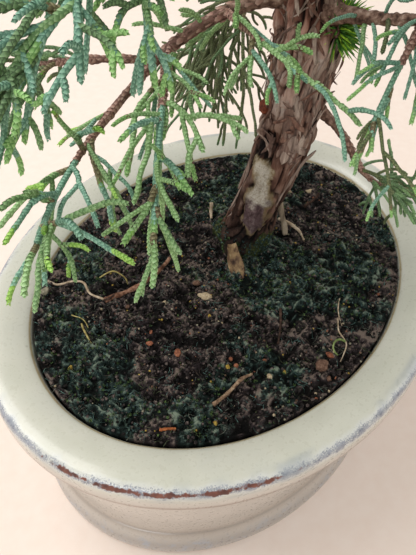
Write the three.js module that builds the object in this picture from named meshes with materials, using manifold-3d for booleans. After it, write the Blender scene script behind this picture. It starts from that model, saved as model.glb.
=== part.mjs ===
// A small juniper bonsai in an oval glazed pot. Millimetres, +Z up, +X along the pot's long axis.
// The origin is the middle of the pot's flat underside.
import * as THREE from "three";
import { mergeVertices } from "three/addons/utils/BufferGeometryUtils.js";
import Module from "manifold-3d";

const wasm = await Module();
wasm.setup();
const { Manifold } = wasm;

// Clearance between one piece and the next, and the little more that a cut or a leaf keeps
const gap = 0.3;
const cutExtra = 0.05;
const leafExtra = 0.1;

// The pot's mouth is an oval with these half lengths, taken at the inner edge of the rim
const mouth = { halfLength: 63.1, halfWidth: 48.6, height: 58 };
const rim = { reach: 11.9, crown: 2.6, depth: 6.4, round: 1.2, recess: 0.7 };
// Reaches are measured outwards from the mouth's edge, heights upwards from the table
const wall = { outsideTop: 6.4, belly: 4.4, bellyHeight: 28, outsideFoot: 2.8 };
const hollow = { neck: -0.7, neckDrop: 2, waist: -1.2, waistDrop: 10, foot: -3, cove: 3, floor: 7 };
const footBand = { reach: 5, height: 11, chamfer: 1, shoulder: 0.6 };
const potSegments = 36;

// The soil is a low mound that is level round the foot of the trunk
const soil = { edgeDrop: 0.8, rise: 1.6, level: 59, levelRadius: 12.5, levelFade: 8, rings: 6, bump: 0.45 };
const soilWaves = { alongX: 0.21, alongY: 0.27, shift: 1, smallX: 0.11, smallY: 0.35, smallShare: 0.5 };

// Stations up the trunk: where its middle is, how thick it is
const trunkStations = [
  { at: [13.6, 3.0, soil.level + gap], radius: 8.8 },
  { at: [14.0, 2.1, 64], radius: 7.2 },
  { at: [14.4, 1.0, 71], radius: 6.5 },
  { at: [17.0, -2.4, 89], radius: 6.7 },
  { at: [18.2, -4.2, 106], radius: 6.7 },
  { at: [18.6, -4.8, 120], radius: 7.3 },
  { at: [18.2, -4.2, 131], radius: 7.1 },
  { at: [15.0, -1.8, 145], radius: 5.0 },
  { at: [9.6, 1.0, 163], radius: 3.8 },
  { at: [5.8, 2.2, 180], radius: 2.8 },
  { at: [4.8, 2.0, 197], radius: 1.4 },
];
const trunkShape = { rings: 26, sides: 14, ridges: 5, ridgeDepth: 0.07, twist: 1.4, tipShare: 0.4 };
const rootFlare = { lobes: 3, depth: 0.12, reach: 0.11, turn: 0.8 };

// Boughs that leave the trunk at a height, and forks that leave a bough's tip.
// Headings are degrees: azimuth round from +X, rise above level, and how much both change by the tip.
const boughs = [
  {
    name: "left_bough", height: 132,
    azimuth: 140, rise: 2, turn: 2, sag: -44, length: 38, radii: [1.75, 1.3],
  },
  {
    name: "left_fork_front", from: "left_bough",
    azimuth: 184, rise: -16, turn: 6, sag: 4, length: 14, radii: [1.1, 0.9],
  },
  {
    name: "left_fork_rear", from: "left_bough",
    azimuth: 124, rise: 6, turn: 6, sag: -10, length: 12, radii: [1.1, 0.85],
  },
  {
    name: "left_back_bough", height: 142,
    azimuth: 104, rise: 16, turn: 10, sag: -16, length: 28, radii: [2.0, 1.3],
  },
  {
    name: "right_bough", height: 129,
    azimuth: -104, rise: 8, turn: -14, sag: 16, length: 34, radii: [2.3, 1.4],
  },
  {
    name: "right_fork", from: "right_bough",
    azimuth: -60, rise: 14, turn: 10, sag: -10, length: 12, radii: [1.2, 0.9],
  },
  {
    name: "low_right_branch", height: 108,
    azimuth: -54, rise: -26, turn: -12, sag: -34, length: 26, radii: [1.5, 0.95],
  },
  {
    name: "back_bough", height: 125,
    azimuth: 52, rise: 8, turn: 14, sag: -26, length: 24, radii: [2.1, 1.3],
  },
  {
    name: "back_right_bough", height: 137,
    azimuth: 4, rise: 14, turn: -14, sag: -14, length: 26, radii: [2.0, 1.3],
  },
  {
    name: "upper_left_bough", height: 150,
    azimuth: 166, rise: 16, turn: 12, sag: -22, length: 30, radii: [1.8, 1.1],
  },
  {
    name: "upper_front_bough", height: 163,
    azimuth: -136, rise: 26, turn: -8, sag: -18, length: 16, radii: [1.5, 1.0],
  },
  {
    name: "upper_right_bough", height: 155,
    azimuth: -52, rise: 22, turn: -8, sag: -22, length: 20, radii: [1.7, 1.1],
  },
  {
    name: "upper_back_bough", height: 168,
    azimuth: 60, rise: 24, turn: 10, sag: -20, length: 16, radii: [1.5, 1.0],
  },
  {
    name: "crown_left_bough", height: 182,
    azimuth: 176, rise: 34, turn: 8, sag: -12, length: 9, radii: [1.2, 0.9],
  },
  {
    name: "crown_right_bough", height: 186,
    azimuth: -10, rise: 36, turn: -8, sag: -12, length: 9, radii: [1.2, 0.9],
  },
];
const boughShape = { steps: 6, sides: 7 };

// Masses of foliage: each grows on from a bough's tip, or from a place beside a bough.
// Width is the longest side shoot, flat squeezes the mass across its own plane.
const foliage = [
  {
    name: "foliage_left_hanging", beside: "left_bough", along: 0.88,
    azimuth: 214, rise: -4, turn: 4, sag: -16,
    length: 50, width: 18, flat: 0.7, open: 36, shoots: 8, seed: 11,
  },
  {
    name: "foliage_front", beside: "left_bough", along: 0.5,
    azimuth: 236, rise: 4, turn: 38, sag: -26,
    length: 36, width: 10, flat: 0.5, open: 44, shoots: 5, seed: 12,
  },
  {
    name: "foliage_left_front", from: "left_fork_front", turn: 34, sag: 26,
    length: 46, width: 22, flat: 0.75, shoots: 8, seed: 13,
  },
  {
    name: "foliage_left_rear", from: "left_fork_rear", turn: 22, sag: -8,
    length: 36, width: 20, flat: 0.7, shoots: 7, seed: 14,
  },
  {
    name: "foliage_left_back", from: "left_back_bough", turn: -20, sag: -14,
    length: 46, width: 25, flat: 0.75, shoots: 8, seed: 15,
  },
  {
    name: "foliage_back_hanging", from: "back_bough", turn: 30, sag: -70,
    length: 36, width: 18, flat: 0.7, shoots: 7, seed: 16,
  },
  {
    name: "foliage_back_right", from: "back_right_bough", turn: 16, sag: -18,
    length: 46, width: 26, flat: 0.75, shoots: 8, seed: 17,
  },
  {
    name: "foliage_right_hanging", beside: "right_bough", along: 0.92,
    azimuth: 186, rise: -22, turn: -10, sag: -52,
    length: 24, width: 10, flat: 0.6, shoots: 4, seed: 18,
  },
  {
    name: "foliage_right_near", from: "right_bough", turn: -34, sag: -6,
    length: 36, width: 14, flat: 0.6, shoots: 6, seed: 19,
  },
  {
    name: "foliage_right_outer", from: "right_fork", turn: -12, sag: -16,
    length: 38, width: 22, flat: 0.7, shoots: 7, seed: 20,
  },
  {
    name: "foliage_low_right", from: "low_right_branch", turn: 14, sag: 84,
    length: 28, width: 15, flat: 0.4, shoots: 7, seed: 21,
  },
  {
    name: "foliage_upper_left", from: "upper_left_bough", turn: 10, sag: -26,
    length: 40, width: 21, flat: 0.7, shoots: 7, seed: 22,
  },
  {
    name: "foliage_upper_front", from: "upper_front_bough", turn: -8, sag: -6,
    length: 34, width: 24, flat: 0.8, shoots: 7, seed: 23,
  },
  {
    name: "foliage_upper_right", from: "upper_right_bough", turn: -10, sag: -20,
    length: 44, width: 26, flat: 0.8, shoots: 8, seed: 24,
  },
  {
    name: "foliage_upper_back", from: "upper_back_bough", turn: 16, sag: -24,
    length: 42, width: 26, flat: 0.8, shoots: 8, seed: 25,
  },
  {
    name: "foliage_crown_left", from: "crown_left_bough", turn: 14, sag: 4,
    length: 32, width: 24, flat: 0.85, shoots: 7, seed: 27,
  },
  {
    name: "foliage_crown_right", from: "crown_right_bough", turn: -12, sag: 2,
    length: 34, width: 24, flat: 0.85, shoots: 7, seed: 28,
  },
  {
    name: "foliage_top", from: "trunk", turn: 40, sag: -14,
    length: 38, width: 26, flat: 1, shoots: 8, seed: 26,
  },
];
const stemRule = { radii: [1.0, 0.6], steps: 6 };
const shootRule = {
  first: 0.12, last: 0.97, open: 48, openSpread: 12, taper: 0.5, shortest: 0.75, vary: 0.4,
  root: 1.5, thick: 1.5, goldenTurn: 137.5, seedTurn: 40,
};
const cordRule = {
  spacing: 8, first: 3, open: 40, openSpread: 8, length: 9.5, taper: 0.45,
  shortest: 0.8, vary: 0.4, base: 2.3,
};
const mergeBelow = 0.03;

// A pale dead stub that leans between the soil and the trunk
const stub = {
  foot: [20.6, -7.4, soil.level + gap],
  length: 15, azimuth: 118, rise: 76, turn: 0, sag: 0, radii: [1.1, 1.5],
};

const finish = {
  glaze: new THREE.MeshStandardMaterial({ color: 0xd9d2bd, roughness: 0.28, metalness: 0 }),
  earth: new THREE.MeshStandardMaterial({ color: 0x1d1a17, roughness: 0.95, metalness: 0 }),
  bark: new THREE.MeshStandardMaterial({ color: 0x6b4a3c, roughness: 0.85, metalness: 0 }),
  twigBark: new THREE.MeshStandardMaterial({ color: 0x7c5546, roughness: 0.8, metalness: 0 }),
  deadWood: new THREE.MeshStandardMaterial({ color: 0xa99a86, roughness: 0.85, metalness: 0 }),
  green: new THREE.MeshStandardMaterial({ color: 0x4f8264, roughness: 0.6, metalness: 0 }),
};

// A closed geometry becomes a solid once its shared corners are merged
function solidOf(geometry) {
  const shape = geometry.clone();
  shape.deleteAttribute("normal");
  shape.deleteAttribute("uv");
  const merged = mergeVertices(shape, 1e-4);
  return new Manifold(new wasm.Mesh({
    numProp: 3,
    vertProperties: new Float32Array(merged.attributes.position.array),
    triVerts: new Uint32Array(merged.index.array),
  }));
}

function meshOf(name, solid, material) {
  const { vertProperties, triVerts } = solid.getMesh();
  const geometry = new THREE.BufferGeometry();
  geometry.setAttribute("position", new THREE.BufferAttribute(vertProperties, 3));
  geometry.setIndex(new THREE.BufferAttribute(triVerts, 1));
  geometry.computeVertexNormals();
  const mesh = new THREE.Mesh(geometry, material);
  mesh.name = name;
  return mesh;
}

// The largest body of a solid, without loose scraps
function mainBody(solid) {
  const bodies = solid.decompose();
  return bodies.reduce((best, body) => (body.volume() > best.volume() ? body : best));
}

// Repeatable random numbers from 0 to 1
function seeded(seed) {
  let state = seed * 2654435761 >>> 0;
  return () => {
    state = (state + 0x6d2b79f5) >>> 0;
    let value = Math.imul(state ^ (state >>> 15), 1 | state);
    value = (value + Math.imul(value ^ (value >>> 7), 61 | value)) ^ value;
    return ((value ^ (value >>> 14)) >>> 0) / 4294967296;
  };
}

function heading(azimuth, rise) {
  const round = THREE.MathUtils.degToRad(azimuth);
  const up = THREE.MathUtils.degToRad(rise);
  return new THREE.Vector3(Math.cos(up) * Math.cos(round), Math.cos(up) * Math.sin(round), Math.sin(up));
}

// A path that sets out on a heading and turns and sags evenly along its length
function pathOf({ start, azimuth, rise, turn, sag, length }, steps) {
  const points = [start.clone()];
  for (let step = 0; step < steps; step++) {
    const along = (step + 0.5) / steps;
    const ahead = heading(azimuth + turn * along, rise + sag * along);
    points.push(points[step].clone().addScaledVector(ahead, length / steps));
  }
  return points;
}

function tangentAt(points, index) {
  const before = points[Math.max(index - 1, 0)];
  const after = points[Math.min(index + 1, points.length - 1)];
  return after.clone().sub(before).normalize();
}

// A tapering limb: a closed cylinder bent along a path
function limbGeometry(points, radiusAt, sides, ridgeAt = () => 0) {
  const rings = points.length - 1;
  const shape = new THREE.CylinderGeometry(1, 1, 1, sides, rings);
  const frames = [];
  let across = new THREE.Vector3(1, 0, 0);
  for (let ring = 0; ring <= rings; ring++) {
    const ahead = tangentAt(points, ring);
    if (Math.abs(ahead.dot(across)) > 0.95) across = new THREE.Vector3(0, 1, 0);
    across = across.clone().addScaledVector(ahead, -ahead.dot(across)).normalize();
    frames.push({ across, up: across.clone().cross(ahead) });
  }
  const corner = shape.attributes.position;
  for (let i = 0; i < corner.count; i++) {
    const along = corner.getY(i) + 0.5;
    const ring = Math.round(along * rings);
    const { across: side, up } = frames[ring];
    const angle = Math.atan2(corner.getZ(i), corner.getX(i));
    const out = Math.hypot(corner.getX(i), corner.getZ(i)) * radiusAt(along) * (1 + ridgeAt(angle, along));
    const place = points[ring].clone();
    place.addScaledVector(side, out * Math.cos(angle)).addScaledVector(up, out * Math.sin(angle));
    corner.setXYZ(i, place.x, place.y, place.z);
  }
  return shape;
}

function limbSolid(points, radii, sides) {
  return solidOf(limbGeometry(points, (along) => THREE.MathUtils.lerp(radii[0], radii[1], along), sides));
}

// Space that limbs and foliage already hold, as thick lines with the name of their owner
const taken = [];

function take(owner, points, radiusAt) {
  for (let i = 0; i < points.length - 1; i++) {
    const radius = Math.max(radiusAt(i / (points.length - 1)), radiusAt((i + 1) / (points.length - 1)));
    taken.push({ owner, line: new THREE.Line3(points[i], points[i + 1]), radius });
  }
}

function isFree(owner, from, to, radius) {
  const line = new THREE.Line3(from, to);
  return taken.every((other) => {
    if (other.owner === owner) return true;
    const reach = radius + other.radius + gap + leafExtra;
    return line.distanceSqToLine3(other.line) > reach * reach;
  });
}

// The pot: an outline swept round the oval, with the same wall all the way round
function ovalLathe(outline) {
  const section = outline.map(([out, z]) => new THREE.Vector2(out + mouth.halfWidth, z));
  const shape = new THREE.LatheGeometry(section, potSegments);
  shape.rotateX(Math.PI / 2);
  const corner = shape.attributes.position;
  const stretch = mouth.halfLength - mouth.halfWidth;
  for (let i = 0; i < corner.count; i++) {
    const out = Math.hypot(corner.getX(i), corner.getY(i));
    if (out < 1e-6) continue;
    const share = Math.min(out / mouth.halfWidth, 1);
    corner.setX(i, corner.getX(i) * (out + stretch * share) / out);
  }
  return solidOf(shape);
}

const axis = -mouth.halfWidth;

// The pot in section, from the middle of its underside, up outside, over the rim and down inside
function makePot() {
  const top = mouth.height;
  const underRim = top - rim.depth;
  const outline = [
    [axis, 0],
    [footBand.reach - footBand.chamfer, 0],
    [footBand.reach, footBand.chamfer],
    [footBand.reach, footBand.height / 2],
    [wall.outsideFoot + footBand.shoulder, footBand.height - footBand.shoulder],
    [wall.outsideFoot, footBand.height],
    [wall.belly, wall.bellyHeight],
    [wall.outsideTop, underRim - 2 * rim.round],
    [wall.outsideTop + rim.recess, underRim - rim.recess],
    [rim.reach - rim.round, underRim],
    [rim.reach, underRim + rim.depth * 0.6],
    [rim.reach - rim.round * 0.3, top + rim.crown * 0.55],
    [rim.reach - rim.round * 1.3, top + rim.crown * 0.95],
    [rim.reach * 0.55, top + rim.crown],
    [rim.reach * 0.22, top + rim.crown * 0.6],
    [0, top],
    [hollow.neck, top - hollow.neckDrop],
    [hollow.waist, top - hollow.waistDrop],
    [hollow.foot, hollow.floor + hollow.cove],
    [hollow.foot - hollow.cove, hollow.floor],
    [axis, hollow.floor],
  ];
  return ovalLathe(outline);
}

// Height of the soil's top at a place: mounded, slightly uneven, level at the trunk's foot
function soilHeight(x, y, share) {
  const mound = mouth.height - soil.edgeDrop + soil.rise * (1 - share ** 4);
  const { alongX, alongY, shift, smallX, smallY, smallShare } = soilWaves;
  const small = smallShare * Math.sin(x * smallX - y * smallY);
  const wave = Math.sin(x * alongX + shift) * Math.cos(y * alongY) + small;
  const [footX, footY] = trunkStations[0].at;
  const away = Math.hypot(x - footX, y - footY);
  const level = 1 - THREE.MathUtils.smoothstep(away, soil.levelRadius, soil.levelRadius + soil.levelFade);
  return THREE.MathUtils.lerp(mound + soil.bump * wave * (1 - share ** 6), soil.level, level);
}

function makeSoil() {
  const edge = mouth.height - soil.edgeDrop;
  const edgeReach = hollow.neck - gap;
  const outline = [
    [axis, hollow.floor + gap],
    [hollow.foot - hollow.cove - gap, hollow.floor + gap],
    [hollow.foot - gap, hollow.floor + hollow.cove],
    [hollow.waist - gap, mouth.height - hollow.waistDrop],
    [hollow.neck - gap, mouth.height - hollow.neckDrop],
    [edgeReach, edge],
  ];
  for (let ring = 1; ring <= soil.rings; ring++) {
    outline.push([THREE.MathUtils.lerp(edgeReach, axis, ring / soil.rings), edge]);
  }
  const shape = ovalLathe(outline).getMesh();
  const corners = shape.vertProperties;
  for (let i = 0; i < corners.length; i += 3) {
    if (corners[i + 2] < edge - gap / 2) continue;
    const share = Math.hypot(corners[i] / mouth.halfLength, corners[i + 1] / mouth.halfWidth);
    corners[i + 2] = soilHeight(corners[i], corners[i + 1], Math.min(share, 1));
  }
  return new Manifold(new wasm.Mesh({ numProp: 3, vertProperties: corners, triVerts: shape.triVerts }));
}

// The trunk runs whole from its flat foot to its tip
const trunkMiddles = trunkStations.map(({ at }) => new THREE.Vector3(...at));
const trunkLine = new THREE.CatmullRomCurve3(trunkMiddles, false, "centripetal");
const trunkPoints = trunkLine.getPoints(trunkShape.rings);
// The foot is cut level, so its first two rings stand one above the other
trunkPoints[1].setX(trunkPoints[0].x).setY(trunkPoints[0].y);

function trunkRadius(along) {
  const place = along * (trunkStations.length - 1);
  const lower = Math.min(Math.floor(place), trunkStations.length - 2);
  return THREE.MathUtils.lerp(trunkStations[lower].radius, trunkStations[lower + 1].radius, place - lower);
}

function trunkRidge(angle, along) {
  const { ridges, ridgeDepth, twist, tipShare } = trunkShape;
  const depth = ridgeDepth * THREE.MathUtils.lerp(1, tipShare, along);
  const flare = rootFlare.depth * Math.max(0, 1 - along / rootFlare.reach);
  const ridge = depth * Math.sin(ridges * angle + twist * along * Math.PI * 2);
  return ridge + flare * Math.sin(rootFlare.lobes * angle + rootFlare.turn);
}

function makeTrunk() {
  return solidOf(limbGeometry(trunkPoints, trunkRadius, trunkShape.sides, trunkRidge));
}

// Where the trunk's middle is at a height
function trunkAt(height) {
  let index = 0;
  while (index < trunkPoints.length - 2 && trunkPoints[index + 1].z < height) index++;
  const [below, above] = [trunkPoints[index], trunkPoints[index + 1]];
  return below.clone().lerp(above, (height - below.z) / (above.z - below.z));
}

// Limbs by name, so that what grows on them can find their tips
const limbs = {
  trunk: { points: trunkPoints, radiusAt: trunkRadius, sides: trunkShape.sides, ridgeAt: trunkRidge },
};
take("trunk", trunkPoints, (along) => trunkRadius(along) * (1 + trunkShape.ridgeDepth));

function pointAlong(points, along) {
  const place = Math.min(along, 0.9999) * (points.length - 1);
  const lower = Math.floor(place);
  return points[lower].clone().lerp(points[lower + 1], place - lower);
}

// A start just past the tip of a limb, on the heading it ends on
function pastTip(limb) {
  const tip = limb.points.at(-1);
  const ahead = tangentAt(limb.points, limb.points.length - 1);
  const azimuth = THREE.MathUtils.radToDeg(Math.atan2(ahead.y, ahead.x));
  const rise = THREE.MathUtils.radToDeg(Math.asin(ahead.z));
  return { start: tip.clone().addScaledVector(ahead, gap), azimuth, rise };
}

// Cut a solid back so that it clears the limb it grows from, and others that grow from the same place
function clearOf(solid, parentName) {
  const siblings = Object.values(limbs).filter((limb) => limb.from === parentName);
  let cut = solid;
  for (const { points, radiusAt, sides, ridgeAt } of [limbs[parentName], ...siblings]) {
    const grown = limbGeometry(points, (along) => radiusAt(along) + gap + cutExtra, sides, ridgeAt);
    cut = cut.subtract(solidOf(grown));
  }
  return mainBody(cut);
}

function makeBough(bough) {
  const radiusAt = (along) => THREE.MathUtils.lerp(bough.radii[0], bough.radii[1], along);
  const start = bough.from ? limbs[bough.from].points.at(-1) : trunkAt(bough.height);
  const points = pathOf({ ...bough, start }, boughShape.steps);
  const solid = clearOf(limbSolid(points, bough.radii, boughShape.sides), bough.from ?? "trunk");
  limbs[bough.name] = { points, radiusAt, sides: boughShape.sides, from: bough.from };
  take(bough.name, points, radiusAt);
  return solid;
}

// An angle in radians, up to a spread more or less than its middle, both in degrees
function spreadAngle(middle, spread, random) {
  return THREE.MathUtils.degToRad(middle + (random() - 0.5) * 2 * spread);
}

// The side cords of a shoot, which leave it to the left and right by turns
function cordsOf(length, random) {
  const cords = [];
  for (let at = cordRule.first; at < length - cordRule.base; at += cordRule.spacing / 2) {
    const side = cords.length % 2 ? -1 : 1;
    const open = spreadAngle(cordRule.open, cordRule.openSpread, random);
    const vary = cordRule.shortest + cordRule.vary * random();
    const reach = cordRule.length * (1 - cordRule.taper * at / length) * vary;
    cords.push({ at, side, tip: [side * Math.sin(open) * reach, at + Math.cos(open) * reach] });
  }
  return cords;
}

// A shoot with its cords of scale leaves is a thin toothed blade that lies along +Y
function shootSolid(length, cords, frame) {
  const half = shootRule.root / 2;
  const outline = new THREE.Shape();
  outline.moveTo(-half, -half);
  outline.lineTo(half, -half);
  const edge = (side) => cords.filter((cord) => cord.side === side);
  for (const cord of edge(1)) {
    outline.lineTo(half, cord.at);
    outline.lineTo(...cord.tip);
    outline.lineTo(half, cord.at + cordRule.base);
  }
  outline.lineTo(0, length);
  for (const cord of edge(-1).reverse()) {
    outline.lineTo(-half, cord.at + cordRule.base);
    outline.lineTo(...cord.tip);
    outline.lineTo(-half, cord.at);
  }
  const blade = new THREE.ExtrudeGeometry(outline, { depth: shootRule.thick, bevelEnabled: false });
  blade.translate(0, 0, -shootRule.thick / 2);
  blade.applyMatrix4(frame);
  return solidOf(blade);
}

// The direction of a side growth that opens from its carrier, at an angle round it
function sideways(ahead, open, round, flat) {
  const level = new THREE.Vector3(0, 0, 1).cross(ahead);
  if (level.lengthSq() < 1e-4) level.set(1, 0, 0);
  level.normalize();
  const over = ahead.clone().cross(level);
  const out = level.multiplyScalar(Math.cos(round)).addScaledVector(over, Math.sin(round) * flat);
  out.normalize();
  return ahead.clone().multiplyScalar(Math.cos(open)).addScaledVector(out, Math.sin(open)).normalize();
}

// One mass of foliage: a stem with toothed shoots all round it
function makeFoliage(mass) {
  const random = seeded(mass.seed);
  const parent = limbs[mass.from ?? mass.beside];
  const root = mass.from ? pastTip(parent) : { start: pointAlong(parent.points, mass.along), ...mass };
  const stem = pathOf({ ...root, turn: mass.turn, sag: mass.sag, length: mass.length }, stemRule.steps);
  const pieces = [clearOf(limbSolid(stem, stemRule.radii, 3), mass.from ?? mass.beside)];
  const held = [stem];

  const addShoot = (start, ahead, across, length) => {
    const end = start.clone().addScaledVector(ahead, length);
    if (!isFree(mass.name, start, end, shootRule.root)) return;
    const frame = new THREE.Matrix4().makeBasis(across, ahead, across.clone().cross(ahead));
    frame.setPosition(start);
    const lineOf = ({ at, tip }) => [
      new THREE.Vector3(0, at, 0).applyMatrix4(frame),
      new THREE.Vector3(...tip, 0).applyMatrix4(frame),
    ];
    const fits = (cord) => isFree(mass.name, ...lineOf(cord), cordRule.base / 2);
    const cords = cordsOf(length, random).filter(fits);
    pieces.push(shootSolid(length, cords, frame));
    held.push([start, end], ...cords.map(lineOf));
  };

  for (let shoot = 0; shoot < mass.shoots; shoot++) {
    const share = (shoot + random() / 2) / mass.shoots;
    const along = THREE.MathUtils.lerp(shootRule.first, shootRule.last, share);
    const ahead = tangentAt(stem, Math.round(along * stemRule.steps));
    const round = THREE.MathUtils.degToRad(shoot * shootRule.goldenTurn + mass.seed * shootRule.seedTurn);
    const open = spreadAngle(mass.open ?? shootRule.open, shootRule.openSpread, random);
    const direction = sideways(ahead, open, round, mass.flat);
    const vary = shootRule.shortest + shootRule.vary * random();
    const length = mass.width * (1 - shootRule.taper * along) * vary;
    const across = new THREE.Vector3().crossVectors(direction, ahead).cross(direction).normalize();
    addShoot(pointAlong(stem, along), direction, across, length);
  }
  const last = tangentAt(stem, stemRule.steps);
  const level = new THREE.Vector3(0, 0, 1).cross(last).normalize();
  addShoot(stem.at(-1), last, level, mass.width * shootRule.taper);

  for (const points of held) take(mass.name, points, () => cordRule.base / 2);
  return mainBody(Manifold.union(pieces)).simplify(mergeBelow);
}

// The stub's foot is level too, and its top is cut to the trunk's side
function makeStub() {
  const path = pathOf({ ...stub, start: new THREE.Vector3(...stub.foot) }, 3);
  path[1].setX(path[0].x).setY(path[0].y);
  return clearOf(limbSolid(path, stub.radii, 6), "trunk");
}

const bonsai = new THREE.Group();
bonsai.add(meshOf("pot", makePot(), finish.glaze));
bonsai.add(meshOf("soil", makeSoil(), finish.earth));
bonsai.add(meshOf("trunk", makeTrunk(), finish.bark));
bonsai.add(meshOf("dead_stub", makeStub(), finish.deadWood));
for (const bough of boughs) bonsai.add(meshOf(bough.name, makeBough(bough), finish.twigBark));
for (const mass of foliage) bonsai.add(meshOf(mass.name, makeFoliage(mass), finish.green));

export default bonsai;
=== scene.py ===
import itertools
import math

import bmesh
import bpy
import numpy as np
from mathutils import Matrix, Vector


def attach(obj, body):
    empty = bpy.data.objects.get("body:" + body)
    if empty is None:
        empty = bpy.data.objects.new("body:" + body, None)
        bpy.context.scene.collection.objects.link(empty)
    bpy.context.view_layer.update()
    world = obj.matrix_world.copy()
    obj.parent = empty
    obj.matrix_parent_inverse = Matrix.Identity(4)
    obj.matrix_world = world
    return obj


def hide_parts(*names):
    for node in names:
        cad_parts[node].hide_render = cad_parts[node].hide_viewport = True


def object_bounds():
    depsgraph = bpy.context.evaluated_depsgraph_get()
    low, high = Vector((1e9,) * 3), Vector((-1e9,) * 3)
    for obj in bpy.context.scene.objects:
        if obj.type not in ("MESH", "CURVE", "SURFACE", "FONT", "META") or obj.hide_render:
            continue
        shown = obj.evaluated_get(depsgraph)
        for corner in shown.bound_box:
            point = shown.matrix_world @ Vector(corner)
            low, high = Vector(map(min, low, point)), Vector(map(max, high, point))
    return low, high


# A small juniper bonsai in an oval glazed pot. Shapes are worked out in millimetres and made in metres.
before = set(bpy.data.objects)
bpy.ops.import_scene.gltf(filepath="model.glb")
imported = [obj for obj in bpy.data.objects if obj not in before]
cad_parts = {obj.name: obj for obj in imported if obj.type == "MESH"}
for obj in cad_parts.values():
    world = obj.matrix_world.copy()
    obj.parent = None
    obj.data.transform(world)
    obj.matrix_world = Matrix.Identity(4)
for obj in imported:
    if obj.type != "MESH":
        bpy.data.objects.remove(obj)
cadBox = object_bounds()
mm = 0.001

print("camera, floor and light")

camera = {
    "place": (-0.0989, -0.0616, 0.1787),
    "ahead": (0.5582, 0.3851, -0.7349),
    "up": (0.5743, 0.4598, 0.6773),
    "lens": 36.32, "sensor": 36,  # the picture's long side is 36 mm
    "nearest": 0.005, "furthest": 20,
}
lamps = [
    # name, place, size, watts, colour
    ("skyPanel", (-0.25, 0.75, 1.25), 1.0, 15, (1.0, 0.98, 0.95)),
    ("sidePanel", (-1.1, -0.3, 0.9), 0.7, 6, (0.95, 0.98, 1.0)),
    ("lowPanel", (0.9, -0.8, 0.7), 0.9, 3.5, (1.0, 0.96, 0.92)),
]
room = {"colour": (1.0, 0.965, 0.93, 1), "strength": 0.52, "lampsAim": (0, 0, 0.08)}


def makeCamera():
    ahead = Vector(camera["ahead"]).normalized()
    right = ahead.cross(Vector(camera["up"])).normalized()
    up = right.cross(ahead)
    data = bpy.data.cameras.new("viewCamera")
    data.lens = camera["lens"]
    data.sensor_width = camera["sensor"]
    data.clip_start, data.clip_end = camera["nearest"], camera["furthest"]
    holder = bpy.data.objects.new("viewCamera", data)
    holder.matrix_world = Matrix((right, up, -ahead)).transposed().to_4x4()
    holder.location = camera["place"]
    bpy.context.collection.objects.link(holder)
    bpy.context.scene.camera = holder


def makeLamp(name, place, size, watts, colour):
    data = bpy.data.lights.new(name, "AREA")
    data.size, data.energy, data.color = size, watts, colour
    lamp = bpy.data.objects.new(name, data)
    lamp.location = place
    lamp.rotation_mode = "QUATERNION"
    lamp.rotation_quaternion = (Vector(room["lampsAim"]) - Vector(place)).to_track_quat("-Z", "Y")
    bpy.context.collection.objects.link(lamp)


makeCamera()
for lamp in lamps:
    makeLamp(*lamp)
world = bpy.data.worlds.new("paleRoom")
world.use_nodes = True
world.node_tree.nodes["Background"].inputs["Color"].default_value = room["colour"]
world.node_tree.nodes["Background"].inputs["Strength"].default_value = room["strength"]
bpy.context.scene.world = world
bpy.context.scene.view_settings.view_transform = "Standard"


# Shared tools for meshes

def markPoints(mesh, key, numbers, kind="FLOAT"):
    numbers = np.asarray(numbers, dtype=np.float32 if kind == "FLOAT" else np.int32)
    mesh.attributes.new(key, kind, "POINT").data.foreach_set("value", numbers)


def makeMesh(name, points, faces, materials, smooth=True, values=None, faceMaterials=None):
    mesh = bpy.data.meshes.new(name)
    mesh.from_pydata((np.asarray(points, dtype=float) * mm).tolist(), [], [tuple(face) for face in faces])
    for material in materials:
        mesh.materials.append(material)
    if faceMaterials is not None:
        mesh.polygons.foreach_set("material_index", np.asarray(faceMaterials, dtype=np.int32))
    mesh.polygons.foreach_set("use_smooth", np.full(len(mesh.polygons), smooth))
    for key, numbers in (values or {}).items():
        markPoints(mesh, key, numbers)
    mesh.update()
    return mesh


def makePiece(name, mesh, nodes=()):
    piece = bpy.data.objects.new(name, mesh)
    bpy.context.collection.objects.link(piece)
    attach(piece, "root")
    if nodes:
        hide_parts(*nodes)
    return piece


def triangleCount(mesh):
    mesh.calc_loop_triangles()
    return len(mesh.loop_triangles)


class Pile:
    # Gathers points and faces of many small shapes into one mesh
    def __init__(self):
        self.points, self.faces, self.kinds, self.count = [], [], [], 0

    def add(self, points, faces, kind=0):
        points = np.asarray(points, dtype=float)
        self.points.append(points)
        self.faces.extend(tuple(int(corner) + self.count for corner in face) for face in faces)
        self.kinds.extend([kind] * len(faces))
        self.count += len(points)

    def mesh(self, name, materials):
        points = np.concatenate(self.points)
        return makeMesh(name, points, self.faces, materials, faceMaterials=self.kinds)


def cellValue(cells, seed):
    mixed = cells[..., 0] * 73856093 ^ cells[..., 1] * 19349663 ^ cells[..., 2] * 83492791 ^ seed * 2654435761
    mixed = mixed & 0xFFFFFFFF
    mixed = (mixed ^ (mixed >> 13)) * 1274126177 & 0xFFFFFFFF
    mixed = (mixed ^ (mixed >> 15)) * 1103515245 & 0xFFFFFFFF
    return (mixed ^ (mixed >> 16)) % 65536 / 32768 - 1


def softNoise(places, size, seed=0):
    # Smooth noise from -1 to 1 whose lumps are about one size apart
    scaled = np.asarray(places, dtype=float) / size
    cells = np.floor(scaled).astype(np.int64)
    part = scaled - cells
    part = part * part * (3 - 2 * part)
    total = 0
    for corner in itertools.product((0, 1), repeat=3):
        weight = np.prod(np.where(corner, part, 1 - part), axis=-1)
        total = total + weight * cellValue(cells + np.array(corner), seed)
    return total


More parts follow.
